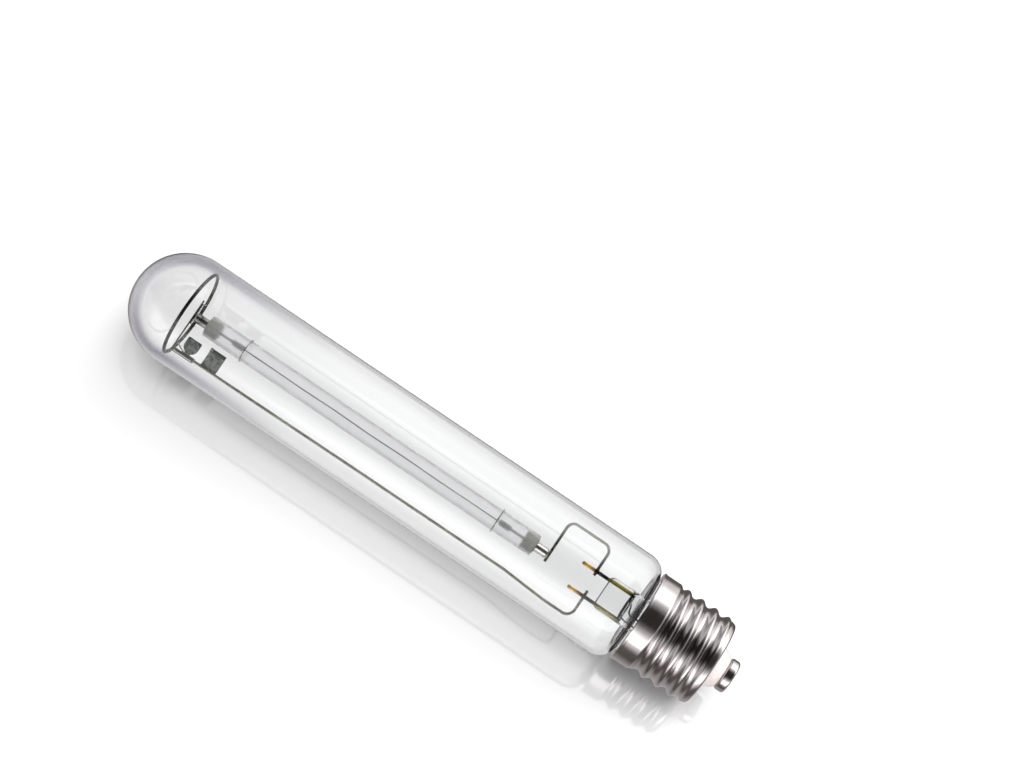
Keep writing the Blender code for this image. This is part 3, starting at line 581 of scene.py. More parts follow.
def strip_piece(name, path, run, paint, node):
    """A folded strip with soft edges, swept along run and centred on it."""
    mesh = bpy.data.meshes.new(name)
    sweep = Vector(run) / 2
    verts = [real(Vector(p) - sweep) for p in path] + [real(Vector(p) + sweep) for p in path]
    count = len(path)
    faces = [(i, i + 1, i + 1 + count, i + count) for i in range(count - 1)]
    mesh.from_pydata(verts, [], faces)
    obj = add_piece(name, mesh, paint, "steel_strip", node)
    solid = obj.modifiers.new("sheet", "SOLIDIFY")
    solid.thickness = STRIP_THICKNESS * MM
    solid.offset = 0.0
    solid.use_even_offset = True
    soften(obj, STRIP_THICKNESS * 0.3)
    return obj


def soften(obj, width, segments=2):
    """Round the sharp edges."""
    bevel = obj.modifiers.new("soft_edges", "BEVEL")
    bevel.width = width * MM
    bevel.segments = segments
    bevel.limit_method = "ANGLE"
    bevel.harden_normals = True


def nugget(name, place, size, paint, seed):
    """A small weld nugget: a lumpy flattened ball."""
    mesh = bpy.data.meshes.new(name)
    bm = bmesh.new()
    bmesh.ops.create_icosphere(bm, subdivisions=3, radius=1.0)
    for vert in bm.verts:
        lump = 1 + 0.16 * noise.noise(vert.co * 1.7 + Vector((seed, 0, 0)))
        vert.co = real(Vector(place) + Vector(size) * lump * vert.co)
    add_piece(name, shaded(mesh, bm, math.pi), paint, "nickel_wire")


# ---- bulb, stem
def outer_bulb():
    """Clear bulb: a round dome, a straight tube, a rounded shoulder and the neck in the cap."""
    low, high = span("outer_bulb")
    radius = reach("outer_bulb")
    neck_bore = NECK_RADIUS - NECK_WALL
    shoulder = high.x - SHOULDER_BACK
    drop = radius - NECK_RADIUS - 0.4
    turn_in = shoulder + SHOULDER_LENGTH - BULB_WALL
    outline = arc((low.x + radius, 0.0), (radius - DOME_TIP_WALL, radius - DOME_WALL), 180, 90, 36)
    for i in range(1, 13):
        wall = DOME_WALL + (BULB_WALL - DOME_WALL) * smooth_step(i / 12, 0.0, 1.0)
        outline.append((low.x + radius + TAPER_LENGTH * i / 12, radius - wall))
    outline += arc((shoulder, radius - drop), (SHOULDER_LENGTH - BULB_WALL, drop - BULB_WALL), 90, 0, 20)
    outline += [(turn_in + 0.1, radius - drop - 0.8), (turn_in + 0.6, neck_bore + 0.2)]
    outline += [(turn_in + 1.6, neck_bore), (high.x, neck_bore)]
    outline += [(high.x, NECK_RADIUS), (shoulder + SHOULDER_LENGTH + 1.5, NECK_RADIUS)]
    outline += arc((shoulder, radius - drop), (SHOULDER_LENGTH, drop), 0, 90, 20)
    outline += arc((low.x + radius, 0.0), (radius, radius), 90, 180, 40)
    lathe("bulb_glass", outline, 144, "glass", "hard_glass", "outer_bulb", crease=60)


def stem_section(station, half_across, half_out, squareness, count):
    """Points of one section of the stem."""
    section = []
    for i in range(count):
        turn = 2 * math.pi * i / count
        side = math.copysign(abs(math.cos(turn)) ** (2 / squareness), math.cos(turn))
        front = math.copysign(abs(math.sin(turn)) ** (2 / squareness), math.sin(turn))
        section.append((station, half_across * side, half_out * front))
    return section


def stem():
    """Pressed glass stem with its flare. The leads are sealed into the solid press."""
    low, high = span("stem")
    rim = high.y
    press = low.x
    end = high.x
    outer = [
        (press, 5.4, 0.6, 2.6), (press + 0.12, 6.1, 1.15, 2.8), (press + 0.45, 6.7, 1.7, 3.0),
        (press + 1.2, 7.1, 2.15, 3.2), (press + 2.6, 7.35, 2.35, 3.4), (press + 6.5, 7.35, 2.4, 3.4),
        (press + 10.7, 7.38, 2.5, 3.4), (press + 12.0, 7.4, 3.1, 3.0), (press + 13.4, 7.4, 4.3, 2.6),
        (press + 15.2, 7.45, 6.1, 2.2), (press + 17.2, 7.5, 7.5, 2.0), (press + 20.7, 8.1, 8.1, 2.0),
        (press + 24.7, 9.7, 9.7, 2.0), (press + 28.7, 12.2, 12.2, 2.0),
        (end - 1.2, rim - 0.15, rim - 0.15, 2.0), (end, rim, rim, 2.0),
    ]
    wall = STEM_WALL
    inner = [(end, rim - wall, rim - wall, 2.0), (end - 1.6, rim - 0.15 - wall, rim - 0.15 - wall, 2.0)]
    inner += [(s - 0.4, a - wall, o - wall, q) for s, a, o, q in reversed(outer[10:14])]
    inner += [(press + 15.2, 6.1, 4.7, 2.2), (press + 13.2, 5.9, 2.4, 2.6), (press + 12.0, 5.5, 1.0, 2.8)]
    mesh = bpy.data.meshes.new("stem_glass")
    bm = bmesh.new()
    rows = [[bm.verts.new(real(p)) for p in stem_section(*section, STEM_SIDES)] for section in outer + inner]
    bm.faces.new(rows[0])
    bm.faces.new(rows[-1])
    skin(bm, rows)
    add_piece("stem_glass", shaded(mesh, bm, math.radians(60)), "stem_glass", "hard_glass", "stem")


def exhaust_tube():
    """Sealed-off glass tube in the stem."""
    low, high = span("exhaust_tube")
    radius = (high.y - low.y) / 2
    bore = radius - 0.8
    centre = ((low.y + high.y) / 2, (low.z + high.z) / 2)
    tip = high.x - radius
    outline = arc((tip, 0.0), (bore - 0.3, bore), 0, 90, 12)
    outline += [(low.x, bore), (low.x, radius)]
    outline += arc((tip, 0.0), (radius, radius), 90, 0, 14)
    lathe("exhaust_glass", outline, 48, "stem_glass", "hard_glass", "exhaust_tube", centre=centre, crease=60)


# ---- cap
def shell_radius(station, turn, edge, skirt):
    """Radius of the pressed shell. The crests are a little narrower than the valleys."""
    middle = (THREAD_MAJOR + THREAD_MINOR) / 2
    depth = (THREAD_MAJOR - THREAD_MINOR) / 2
    along = station - edge
    body = skirt + (middle - skirt) * smooth_step(along, *SKIRT_NARROWS)
    fade = smooth_step(along, *THREAD_RISES) * (1 - smooth_step(along, *THREAD_FADES))
    phase = (along - FIRST_CREST) / THREAD_PITCH - turn / (2 * math.pi)
    wave = 2 * ((1 + math.cos(2 * math.pi * phase)) / 2) ** 1.25 - 1
    return body + depth * fade * wave


def cap_shell():
    """Skirt with a rolled lip, right-hand E40 thread, and the turned-in end."""
    low, high = span("cap_shell")
    edge, end = low.x, high.x
    skirt = SKIRT_RADIUS
    lip = reach("cap_shell")
    count = 192
    turns = full_turn(count)
    body = [edge + 1.5 + (end - edge - 3.4) * i / 150 for i in range(151)]
    mesh = bpy.data.meshes.new("cap_metal")
    bm = bmesh.new()

    def even(station, radius):
        return [bm.verts.new(real(p)) for p in circle(station, radius, count)]

    def threaded(station, inward):
        radii = [shell_radius(station, t, edge, skirt) - inward for t in turns]
        return [bm.verts.new(real((station, r * math.cos(t), r * math.sin(t)))) for r, t in zip(radii, turns)]

    hole = INSULATOR_BOSS + 0.3
    lip_bend = [(0.12, lip - 0.34), (0.0, lip - 0.17), (0.12, lip - 0.04), (0.35, lip), (0.7, lip - 0.02)]
    lip_bend += [(1.0, skirt + 0.08), (1.25, skirt)]
    rows = [even(edge + s, r) for s, r in lip_bend]
    rows += [threaded(s, 0.0) for s in body]
    end_bend = [(-1.45, 18.55), (-0.9, 18.42), (-0.45, 18.15), (-0.15, 17.7), (0.0, 17.05)]
    rows += [even(end + s, r) for s, r in end_bend]
    rows += [even(end, 12.5), even(end, hole + 0.25), even(end - 0.1, hole), even(end - 0.35, hole + 0.1)]
    rows += [even(end - SHELL_WALL, hole + 0.6), even(end - SHELL_WALL, 16.9), even(end - 1.1, 18.0)]
    rows += [threaded(s, SHELL_WALL) for s in body[::-3]]
    skin(bm, rows, closed=True)
    add_piece("cap_metal", shaded(mesh, bm, math.radians(50)), "plate", "plated_brass", "cap_shell")


def cap_insulator():
    """Ceramic disc with the cone that carries the contact."""
    low, high = span("cap_insulator")
    shell_end = span("cap_shell")[1].x
    contact = reach("centre_contact")
    disc = reach("cap_insulator")
    outline = [(high.x, 1.0), (high.x, contact - 0.55)]
    outline += [(high.x - 0.3, contact - 0.1)]
    outline += [(shell_end + 0.75, INSULATOR_BOSS - 0.35), (shell_end + 0.35, INSULATOR_BOSS - 0.08)]
    outline += [(shell_end, INSULATOR_BOSS), (shell_end - 0.5, INSULATOR_BOSS), (shell_end - 0.6, disc - 0.4)]
    outline += [(shell_end - 1.0, disc), (low.x, disc), (low.x, 1.0)]
    lathe("cap_ceramic", outline, 96, "ceramic", "steatite", "cap_insulator", ring=True)


def centre_contact():
    """Thick round contact with rounded edges."""
    low, high = span("centre_contact")
    radius = reach("centre_contact")
    edge = CONTACT_EDGE
    outline = [(high.x, CONTACT_BORE)] + arc((high.x - edge, radius - edge), (edge, edge), 0, 90, 12)
    outline += arc((low.x + edge, radius - edge), (edge, edge), 90, 180, 12)
    outline += [(low.x, CONTACT_BORE)]
    lathe("contact_metal", outline, 96, "plate", "plated_brass", "centre_contact", ring=True)


def contact_solder():
    """Low plug of solder in the contact."""
    low, high = span("contact_solder")
    outline = arc((high.x - 0.35, 0.0), (0.35, 1.55), 0, 90, 8) + [(low.x, 1.5), (low.x, 0.0)]
    lathe("contact_solder_plug", outline, 48, "solder", "solder", "contact_solder")


# ---- wires
def lead_rods():
    """The two stiff leads, with softly rounded free ends."""
    for name in ("upper_lead_rod", "lower_lead_rod"):
        low, high = span(name)
        radius = (high.y - low.y) / 2
        centre = ((low.y + high.y) / 2, (low.z + high.z) / 2)
        outline = [(high.x, 0.0), (high.x, radius - 0.15), (high.x - 0.15, radius)]
        outline += arc((low.x + 0.4, radius - 0.4), (0.4, 0.4), 90, 180, 6) + [(low.x, 0.0)]
        lathe(f"{name}_metal", outline, 32, "lead", "lead_rod", name, centre=centre)


def inner_leads():
    """Flexible leads from the press into the cap."""
    upper = span("upper_lead_rod")[0].y
    route = [
        (235.0, upper - 0.06, 0.0), (235.2, 2.6, 0.2), (236.6, 1.2, 0.6), (237.3, -0.9, 1.6),
        (239.0, -1.9, 3.1), (243.0, -1.5, 3.9), (252.0, -0.7, 3.9), (262.0, -0.1, 3.4),
        (268.0, 0.0, 1.3), (272.0, 0.0, 0.0),
        (span("centre_contact_wire")[1].x, 0.0, 0.0),
    ]
    wire("centre_lead", flowing(route), CENTRE_LEAD_RADIUS, "dark_wire", "centre_contact_wire")
    route = [
        (235.0, -3.5, 0.0), (235.1, -4.2, 0.0), (236.0, -4.6, 0.0), (238.0, -5.0, 0.2), (241.0, -5.1, 0.5),
        (246.0, -5.7, 0.9), (252.0, -8.4, 1.3), (257.0, -11.6, 1.8), (260.5, -14.2, 2.0), (263.0, -16.8, 2.1),
    ]
    wire("shell_lead", flowing(route), SHELL_LEAD_RADIUS, "dark_wire", "shell_wire")


def frame_rod():
    """Long rod with its hook at the cap end."""
    low, high = span("frame_rod")
    out = high.z - ROD_RADIUS
    hook = high.x - ROD_RADIUS
    base = low.y + ROD_RADIUS
    corners = [
        (low.x, base + 0.65, 0.0), (52.0, base + 0.65, 0.0), (110.0, base + 1.0, 0.0),
        (186.0, base + 1.2, 0.0), (206.0, base, out), (hook, base, out), (hook, high.y, out),
    ]
    wire("frame_rod_wire", rounded(corners, ROD_BEND), ROD_RADIUS, "wire", "frame_rod")


def bridge_wire():
    """C-shaped wire from the base-end niobium tube to the upper lead."""
    low, high = span("bridge_wire")
    radius = BRIDGE_RADIUS
    out = high.z - radius
    corners = [
        (low.x + radius, low.y, 0.0), (low.x + radius, high.y - radius, 0.0),
        (high.x - radius, high.y - radius, out), (high.x - radius, 3.3, out),
    ]
    wire("bridge_wire_metal", rounded(corners, BRIDGE_BEND), radius, "wire", "bridge_wire")


# ---- arc tube
def plain_ring(low, high, bore, radius, chamfer):
    """Outline of a ring with chamfered outer edges."""
    return [
        (high, bore), (high, radius - chamfer), (high - chamfer, radius), (low + chamfer, radius),
        (low, radius - chamfer), (low, bore),
    ]


def arc_tube():
    """Translucent ceramic tube."""
    low, high = span("arc_tube")
    radius = reach("arc_tube")
    outline = plain_ring(low.x, high.x, radius - TUBE_WALL, radius, 0.12)
    lathe("arc_tube_ceramic", outline, 96, "alumina", "alumina", "arc_tube", ring=True, crease=30)


def arc_tube_end(end, inwards):
    """Plug, frit fillet, niobium tube and electrode of one end."""
    low, high = span(f"arc_tube_plug_{end}")
    outline = plain_ring(low.x, high.x, PLUG_BORE, reach(f"arc_tube_plug_{end}"), 0.2)
    lathe(f"plug_{end}", outline, 64, "plug", "plug_alumina", f"arc_tube_plug_{end}", ring=True)

    low, high = span(f"frit_ring_{end}")
    face, tip = (high.x, low.x) if inwards > 0 else (low.x, high.x)
    away = tip - face
    radius = reach(f"frit_ring_{end}")
    outline = [(face, FRIT_BORE), (face, radius), (face + away * 0.25, radius - 0.15)]
    outline += [(face + away * 0.6, radius - 0.75), (tip, 2.3), (tip, FRIT_BORE)]
    lathe(f"frit_{end}", outline, 64, "frit", "frit", f"frit_ring_{end}", ring=True, crease=60)

    low, high = span(f"niobium_tube_{end}")
    outer, inner = (low.x, high.x) if inwards > 0 else (high.x, low.x)
    radius = reach(f"niobium_tube_{end}")
    outline = [(outer, 0.0), (outer, radius - 0.75)]
    outline += [(outer + inwards * 0.12, radius - 0.35), (outer + inwards * 0.4, radius - 0.06)]
    outline += [(outer + inwards * 0.7, radius), (inner, radius), (inner, 0.62)]
    outline += [(inner - inwards * 0.5, 0.62), (inner - inwards * 0.5, radius - NIOBIUM_WALL)]
    outline += [(outer + inwards * 0.6, radius - NIOBIUM_WALL), (outer + inwards * 0.6, 0.0)]
    lathe(f"niobium_{end}", outline, 64, "niobium", "niobium", f"niobium_tube_{end}")

    low, high = span(f"electrode_rod_{end}")
    outline = [(high.x, 0.0), (high.x, SHANK_RADIUS - 0.15), (high.x - 0.15, SHANK_RADIUS)]
    outline += [(low.x + 0.15, SHANK_RADIUS), (low.x, SHANK_RADIUS - 0.15), (low.x, 0.0)]
    lathe(f"electrode_shank_{end}", outline, 24, "tungsten", "tungsten", f"electrode_rod_{end}")
    electrode_coil(end)


def electrode_coil(end):
    """Tungsten coil wound on the electrode's tip."""
    low, high = span(f"electrode_coil_{end}")
    wire_radius = COIL_WIRE_RADIUS
    coil_radius = reach(f"electrode_coil_{end}") - wire_radius
    count = COIL_TURNS * 20
    route = []
    for i in range(count + 1):
        turn = 2 * math.pi * i / 20
        station = low.x + wire_radius + (high.x - low.x - 2 * wire_radius) * i / count
        route.append((station, coil_radius * math.cos(turn), coil_radius * math.sin(turn)))
    name = f"electrode_winding_{end}"
    wire(name, route, wire_radius, "tungsten", f"electrode_coil_{end}", "tungsten", sides=3)


def ignition_aid():
    """Loops round the arc tube, their twisted tails, and the wire between them."""
    for end in ("dome", "base"):
        low, high = span(f"ignition_loop_{end}")
        radius = reach("arc_tube") + 0.2
        station = (low.x + high.x) / 2
        route = circle(station, radius, 64)
        node = f"ignition_loop_{end}"
        wire(f"ignition_ring_{end}", route, LOOP_WIRE_RADIUS, "pale_wire", node, cyclic=True, sides=4)
        for side in (-1, 1):
            place = (station, side * (radius + 0.15), 0.1)
            name = f"ignition_tail_{end}_{'low' if side < 0 else 'top'}"
            nugget(name, place, (0.3, 0.3, 0.26), "pale_wire", side)
    low, high = span("ignition_wire")
    middle = (low.z + high.z) / 2
    count = 24
    route = []
    for i in range(count + 1):
        t = i / count
        sway = 0.12 * math.sin(7.0 * t * math.pi) * math.sin(math.pi * t)
        route.append((low.x + (high.x - low.x) * t, sway, middle))
    wire("ignition_wire_metal", route, IGNITION_WIRE_RADIUS, "pale_wire", "ignition_wire", sides=3)


# ---- dome end
def dome_ring():
    """Spring ring in the dome."""
    low, high = span("dome_ring")
    radius = (high.x - low.x) / 2
    station = (low.x + high.x) / 2
    route = circle(station, reach("dome_ring") - radius, 128)
    wire("dome_spring_ring", route, radius, "ring_wire", "dome_ring", cyclic=True)


def ring_bracket():
    """Folded strip that grips the rod's end."""
    low, high = span("ring_bracket")
    rod = span("frame_rod")
    path = [
        (low.x + 0.14, -17.3, 0.0), (27.6, -16.15, 0.0), (high.x - 0.14, -16.15, 0.0),
        (high.x - 0.14, -14.35, 0.0), (31.8, -14.35, 0.0), (27.6, -12.4, 0.0),
    ]
    strip_piece("bracket_strip", path, (0.0, 0.0, high.z - low.z), "strip", "ring_bracket")
    nugget("bracket_weld", (34.5, (rod[0].y + 1.02), 0.75), (0.9, 0.35, 0.45), "wire", 3)


def niobium_strap():
    """Strip on the dome-side niobium tube and the wire behind it."""
    low, high = span("niobium_strap")
    station = low.x + 0.14
    path = [
        (station + 1.1, 6.3, 0.0), (station, 5.7, 0.0), (station, -3.3, 0.0), (high.x, -3.3, 0.0),
    ]
    run = (0.0, 0.0, high.z - low.z)
    strip_piece("niobium_strip", path, run, "bright_strip", "niobium_strap")
    low, high = span("dome_support_wire")
    upright = low.x + SUPPORT_RADIUS
    foot = low.y + SUPPORT_RADIUS
    corners = [(upright, high.y, 0.0), (upright, foot, 0.0), (high.x, foot, 0.0)]
    wire("support_wire_metal", rounded(corners, SUPPORT_BEND), SUPPORT_RADIUS, "wire", "dome_support_wire")


def turned_out(name, outline, count, centre):
    """Turn an outline of (out, radius) points about a line that stands out of the mount."""
    mesh = bpy.data.meshes.new(name)
    bm = bmesh.new()
    rows = []
    for out, radius in outline:
        points = [(centre[0] + x, centre[1] + y, out) for _, x, y in circle(out, radius, count)]
        rows.append([bm.verts.new(real(p)) for p in points])
    bm.faces.new(rows[0])
    bm.faces.new(rows[-1])
    skin(bm, rows)
    return shaded(mesh, bm, math.radians(30))


def getter_ring():
    """Round getter with its pressed powder, and the plate behind it."""
    low, high = span("getter_ring")
    centre = ((low.x + high.x) / 2, (low.y + high.y) / 2)
    radius = (high.x - low.x) / 2
    outline = [
        (high.z - 0.12, 1.2), (high.z - 0.14, 1.35), (high.z - 0.32, 1.5), (high.z - 0.3, 2.1),
        (high.z - 0.34, radius - 0.4), (high.z - 0.05, radius - 0.3), (high.z, radius - 0.22),
        (high.z - 0.03, radius - 0.08), (high.z - 0.2, radius), (low.z, radius - 0.2),
    ]
    mesh = turned_out("getter_cup", outline, 64, centre)
    add_piece("getter_cup", mesh, "getter", "getter", "getter_ring")
    low, high = span("getter_ring_holder")
    half = (high.x - low.x) / 2
    foot = low.y
    shape = [(-half, half - 0.5), (-half + 0.15, half - 0.15), (-half + 0.5, half), (half - 0.5, half)]
    shape += [(half - 0.15, half - 0.15), (half, half - 0.5)]
    shape += arc((0.0, 0.0), (half, half), 0, -65, 10)
    shape += [(1.2, foot - centre[1]), (-1.2, foot - centre[1])]
    shape += arc((0.0, 0.0), (half, half), -115, -180, 10)
    mesh = bpy.data.meshes.new("getter_plate")
    bm = bmesh.new()
    rows = []
    for out in (low.z, high.z):
        rows.append([bm.verts.new(real((centre[0] + x, centre[1] + y, out))) for x, y in shape])
    bm.faces.new(rows[0])
    bm.faces.new(rows[1])
    skin(bm, rows)
    shaded(mesh, bm)
    obj = add_piece("getter_plate", mesh, "dark_strip", "steel_strip", "getter_ring_holder")
    soften(obj, 0.06)


def getter_flag():
    """Square getter: folded sheet, pressed powder and the stub."""
    low, high = span("getter_flag_holder")
    middle = (low.x + high.x) / 2
    path = [
        (middle, low.y + 0.14, 1.2), (middle, low.y + 0.14, -0.55), (middle, high.y - 0.14, -0.55),
        (middle, high.y - 0.14, 0.55), (middle, high.y - 1.49, 0.55),
    ]
    run = (high.x - low.x, 0.0, 0.0)
    sheet = strip_piece("flag_sheet", path, run, "dark_strip", "getter_flag_holder")
    notch(sheet)
    low, high = span("getter_flag_pellet")
    mesh = bpy.data.meshes.new("flag_powder")
    bm = bmesh.new()
    bmesh.ops.create_cube(bm, size=1.0)
    for vert in bm.verts:
        vert.co = real(((low + high) / 2) + vert.co * (high - low))
    obj = add_piece("flag_powder", shaded(mesh, bm), "getter", "getter", "getter_flag_pellet")
    notch(obj)
    soften(obj, 0.12)
    low, high = span("getter_flag_stub")
    centre = ((low.x + high.x) / 2, (low.y + high.y) / 2)
    radius = (high.x - low.x) / 2
    outline = [(high.z, radius - 0.25), (high.z - 0.07, radius - 0.08)]
    outline += [(high.z - 0.2, radius), (low.z, radius)]
    mesh = turned_out("flag_stub", outline, 32, centre)
    add_piece("flag_stub", mesh, "wire", "nickel_wire", "getter_flag_stub")


def notch(obj):
    """Cut the round notch in which the stub sits."""
    low, high = span("getter_flag_stub")
    outline = [(high.z + 1.0, 0.75), (low.z - 1.0, 0.75)]
    mesh = turned_out("stub_notch", outline, 32, ((low.x + high.x) / 2, (low.y + high.y) / 2))
    cutter = linked("stub_notch", mesh)
    modifier = obj.modifiers.new("notch", "BOOLEAN")
    modifier.object = cutter
    modifier.operation = "DIFFERENCE"
    bpy.context.view_layer.update()
    evaluated = obj.evaluated_get(bpy.context.evaluated_depsgraph_get())
    cut_mesh = bpy.data.meshes.new_from_object(evaluated)
    obj.modifiers.clear()
    obj.data = cut_mesh
    bpy.data.objects.remove(cutter)


def welds():
    """Weld nuggets where wires cross or meet."""
    upper = span("upper_lead_rod")
    lower = span("lower_lead_rod")
    bridge = span("bridge_wire")
    rod = span("frame_rod")
    upper_across = (upper[0].y + upper[1].y) / 2
    lower_across = (lower[0].y + lower[1].y) / 2
    place = (bridge[1].x - 0.6, upper_across, bridge[1].z - 0.6)
    nugget("weld_upper_lead", place, (0.85, 1.5, 0.75), "weld", 1)
    place = (rod[1].x - 0.6, lower_across, rod[1].z - 0.6)
    nugget("weld_lower_lead", place, (0.8, 1.5, 0.75), "weld", 2)
    nugget("weld_niobium_base", (bridge[0].x + 0.1, 0.0, 0.0), (0.3, 1.5, 1.3), "niobium", 4)
    ring = span("dome_ring")
    nugget("weld_ring", (ring[1].x - 0.2, ring[0].y + 1.3, 0.0), (0.5, 0.45, 1.1), "wire", 5)


# ---- studio
def floor():
    """Plain pale board on which the lamp lies."""
    mesh = bpy.data.meshes.new("floor")
    half = FLOOR_SIZE / 2
    height = cad_low.z
    corners = [(-half, -half, height), (half, -half, height), (half, half, height), (-half, half, height)]
    mesh.from_pydata(corners, [], [(0, 1, 2, 3)])
    mesh.materials.append(floor_paint())
    linked("floor", mesh)


def world():
    """Light tent: bright in front and behind, dark overhead between, and plain where it is looked at."""
    made = bpy.data.worlds.new("studio")
    bpy.context.scene.world = made
    made.use_nodes = True
    nodes, links = made.node_tree.nodes, made.node_tree.links

    def math_node(operation, *values):
        node = nodes.new("ShaderNodeMath")
        node.operation = operation
        for socket, value in zip(node.inputs, values):
            if isinstance(value, (int, float)):
                socket.default_value = value
            else:
                links.new(value, socket)
        return node.outputs[0]

    def step(value, low, high):
        node = nodes.new("ShaderNodeMapRange")
        node.interpolation_type = "SMOOTHSTEP"
        links.new(value, node.inputs[0])
        node.inputs[1].default_value = low
        node.inputs[2].default_value = high
        return node.outputs[0]

    def mix(factor, first, second):
        node = nodes.new("ShaderNodeMix")
        node.data_type = "RGBA"
        links.new(factor, node.inputs[0])
        for socket, value in ((node.inputs[6], first), (node.inputs[7], second)):
            if isinstance(value, tuple):
                socket.default_value = (*value, 1.0)
            else:
                links.new(value, socket)
        return node.outputs[2]

    coords = nodes.new("ShaderNodeTexCoord")
    split = nodes.new("ShaderNodeSeparateXYZ")
    links.new(coords.outputs["Generated"], split.inputs[0])
    x, y, z = split.outputs
    angle = math_node("ARCTAN2", z, math_node("MULTIPLY", y, -1.0))
    brightest = max(value for _, value in TENT)
    profile = nodes.new("ShaderNodeValToRGB")
    while len(profile.color_ramp.elements) < len(TENT):
        profile.color_ramp.elements.new(1.0)
    for element, (degrees, value) in zip(profile.color_ramp.elements, TENT):
        element.position = degrees / 180
        warm = 0.88 if value < 0.1 else 1.0
        element.color = (value / brightest, warm * value / brightest, warm ** 2 * value / brightest, 1.0)
    links.new(math_node("DIVIDE", angle, math.pi), profile.inputs["Fac"])
    fade = nodes.new("ShaderNodeMapRange")
    links.new(step(x, *TENT_START), fade.inputs[0])
    fade.inputs[3].default_value = TENT_PAST_START
    scaled = nodes.new("ShaderNodeVectorMath")
    scaled.operation = "SCALE"
    links.new(profile.outputs["Color"], scaled.inputs[0])
    links.new(math_node("MULTIPLY", fade.outputs[0], brightest), scaled.inputs["Scale"])
    tent = mix(step(x, *TENT_END_FROM), scaled.outputs[0], (TENT_END,) * 3)
    backdrop = mix(step(z, *BACKDROP_DARKENS), BACKDROP, BACKDROP_TOP)
    path = nodes.new("ShaderNodeLightPath")
    bounced = math_node("ADD", path.outputs["Glossy Depth"], path.outputs["Diffuse Depth"])
    straight = math_node("SUBTRACT", 1.0, math_node("MINIMUM", bounced, 1.0))
    straight_through = math_node("MULTIPLY", straight, path.outputs["Is Transmission Ray"])
    seen = mix(straight_through, tent, backdrop)
    seen = mix(path.outputs["Is Camera Ray"], seen, BACKDROP)
    links.new(seen, nodes["Background"].inputs["Color"])


def sun():
    """Very soft overhead light that doesn't show in shiny things."""
    data = bpy.data.lights.new("soft_overhead", "SUN")
    data.energy = SUN_STRENGTH
    data.angle = math.radians(SUN_SPREAD)
    obj = linked("soft_overhead", data)
    rise = math.radians(SUN_FROM)
    obj.rotation_euler = Vector((0.0, -math.cos(rise), math.sin(rise))).to_track_quat("Z", "Y").to_euler()
    obj.visible_glossy = False
    obj.visible_transmission = False


def camera():
    """Camera above the lamp and in front of it, rolled so that the lamp slopes down to the right."""
    data = bpy.data.cameras.new("camera")
    data.lens = CAMERA_LENS
    data.sensor_width = 36.0
    obj = linked("camera", data)
    rise = math.radians(CAMERA_ELEVATION)
    away = Vector((0.0, -math.cos(rise), math.sin(rise))) * CAMERA_DISTANCE
    place = Vector(((CAMERA_STATION - LAMP_LENGTH) * MM, 0.0, 0.0)) + away
    aim = Vector(((CAMERA_AIM_STATION - LAMP_LENGTH) * MM, CAMERA_AIM_SIDE, 0.0))
    back = (place - aim).normalized()
    right = Vector((0.0, 0.0, 1.0)).cross(back).normalized()
    up = back.cross(right)
    level = Matrix((right, up, back)).transposed()
    roll = Matrix.Rotation(math.radians(CAMERA_ROLL), 3, "Z")
    obj.matrix_world = Matrix.Translation(place) @ (level @ roll).to_4x4()
    bpy.context.scene.camera = obj


def render_look():
    """Bounces for glass in glass, and plain colour management."""
    scene = bpy.context.scene
    scene.view_settings.view_transform = "Standard"
    scene.view_settings.look = "None"
    cycles = scene.cycles
    cycles.max_bounces = 24
    cycles.transmission_bounces = 20
    cycles.transparent_max_bounces = 24
    cycles.glossy_bounces = 8
    cycles.diffuse_bounces = 4
    cycles.use_denoising = True
    cycles.caustics_reflective = False
    cycles.caustics_refractive = False


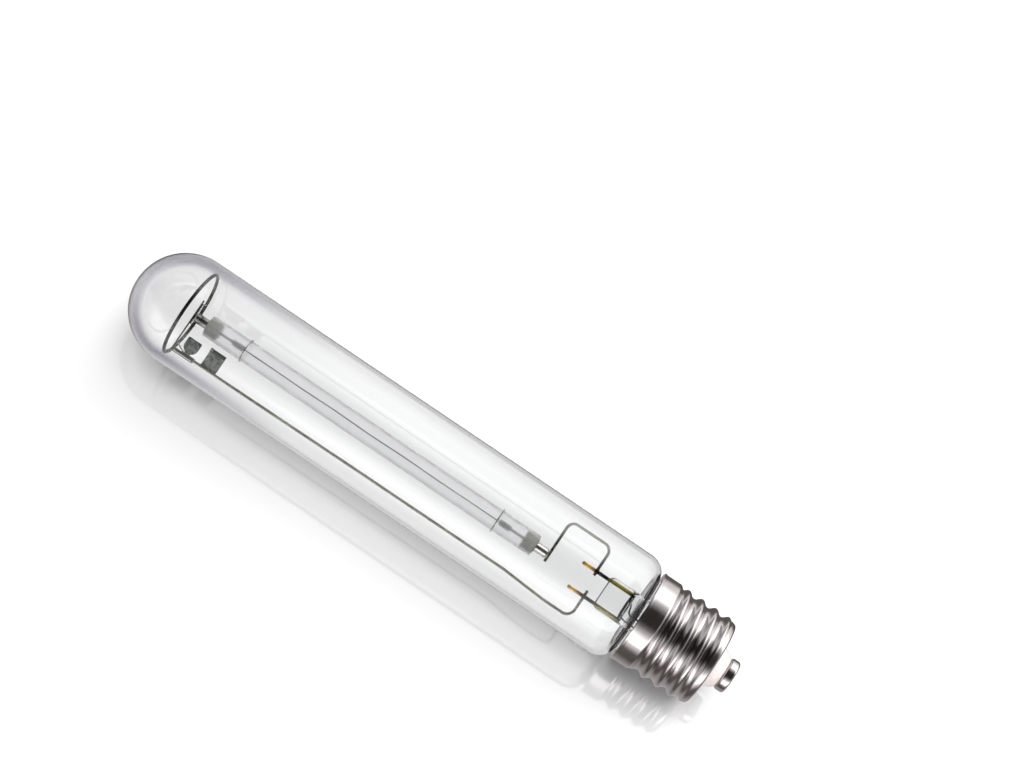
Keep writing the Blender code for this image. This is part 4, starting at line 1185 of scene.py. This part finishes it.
# ---- build
render_look()
camera()
paints = {
    "glass": bulb_paint(),
    "stem_glass": glass_paint("stem_glass", 0.01, 0.95)[0].mat,
    "plate": plated_paint(),
    "ceramic": grainy_paint(
        "steatite", (0.82, 0.75, 0.72), (0.76, 0.68, 0.65), (0.87, 0.81, 0.78),
        scale=700.0, detail=6.0, spread=0.2, height=0.02, strength=0.5, rough=(0.28, 0.45),
    ),
    "alumina": alumina_paint(),
    "plug": grainy_paint(
        "plug_alumina", (0.30, 0.30, 0.26), (0.09, 0.09, 0.07), (0.32, 0.32, 0.28),
        scale=500.0, detail=5.0, spread=0.15, height=0.02, strength=0.4, rough=0.5,
    ),
    "frit": grainy_paint(
        "sealing_frit", (0.62, 0.60, 0.54), (0.50, 0.48, 0.41), (0.72, 0.70, 0.65),
        scale=900.0, detail=5.0, spread=0.2, height=0.03, strength=0.5, rough=0.2,
    ),
    "niobium": metal_paint("niobium", (0.44, 0.43, 0.40), (0.66, 0.65, 0.62), 0.2),
    "tungsten": metal_paint("tungsten", (0.03, 0.03, 0.035), (0.08, 0.08, 0.09), 0.4),
    "wire": metal_paint("nickel_wire", (0.20, 0.20, 0.16), (0.42, 0.42, 0.34), 0.3),
    "pale_wire": metal_paint("pale_wire", (0.22, 0.22, 0.20), (0.42, 0.42, 0.38), 0.3),
    "ring_wire": metal_paint("ring_wire", (0.02, 0.02, 0.016), (0.10, 0.10, 0.08), 0.25),
    "dark_wire": metal_paint("dark_wire", (0.012, 0.018, 0.02), (0.04, 0.05, 0.055), 0.35),
    "weld": metal_paint("weld_metal", (0.05, 0.028, 0.02), (0.12, 0.07, 0.05), 0.4),
    "strip": metal_paint("steel_strip", (0.10, 0.105, 0.09), (0.30, 0.31, 0.28), 0.22),
    "dark_strip": metal_paint("dark_strip", (0.03, 0.032, 0.027), (0.10, 0.105, 0.09), 0.3),
    "bright_strip": metal_paint("bright_strip", (0.26, 0.26, 0.24), (0.46, 0.46, 0.43), 0.2),
    "solder": metal_paint("solder", (0.32, 0.32, 0.33), (0.52, 0.52, 0.53), 0.32, marks=700.0, depth=0.03),
    "amalgam": metal_paint("amalgam", (0.6, 0.6, 0.62), (0.75, 0.75, 0.77), 0.12),
    "getter": grainy_paint(
        "getter_powder", (0.10, 0.115, 0.10), (0.05, 0.06, 0.05), (0.30, 0.34, 0.30),
        scale=700.0, detail=6.0, spread=0.12, height=0.09, strength=1.0, rough=(0.35, 0.6),
        metallic=0.35,
    ),
    "lead": lead_paint(),
    "cement": grainy_paint(
        "basing_cement", (0.74, 0.71, 0.65), (0.60, 0.57, 0.50), (0.80, 0.77, 0.71),
        scale=800.0, detail=8.0, spread=0.15, height=0.15, strength=0.8, rough=0.9,
    ),
}
outer_bulb()
stem()
exhaust_tube()
cap_shell()
cap_insulator()
centre_contact()
contact_solder()
lead_rods()
inner_leads()
frame_rod()
bridge_wire()
arc_tube()
for tube_end, way in (("dome", 1), ("base", -1)):
    arc_tube_end(tube_end, way)
ignition_aid()
dome_ring()
ring_bracket()
niobium_strap()
getter_ring()
getter_flag()
welds()
for node, paint_name in (("basing_cement", "cement"), ("amalgam_bead", "amalgam")):
    kept = frame["nodes"][node]
    kept.data.materials.clear()
    kept.data.materials.append(paints[paint_name])
floor()
world()
sun()
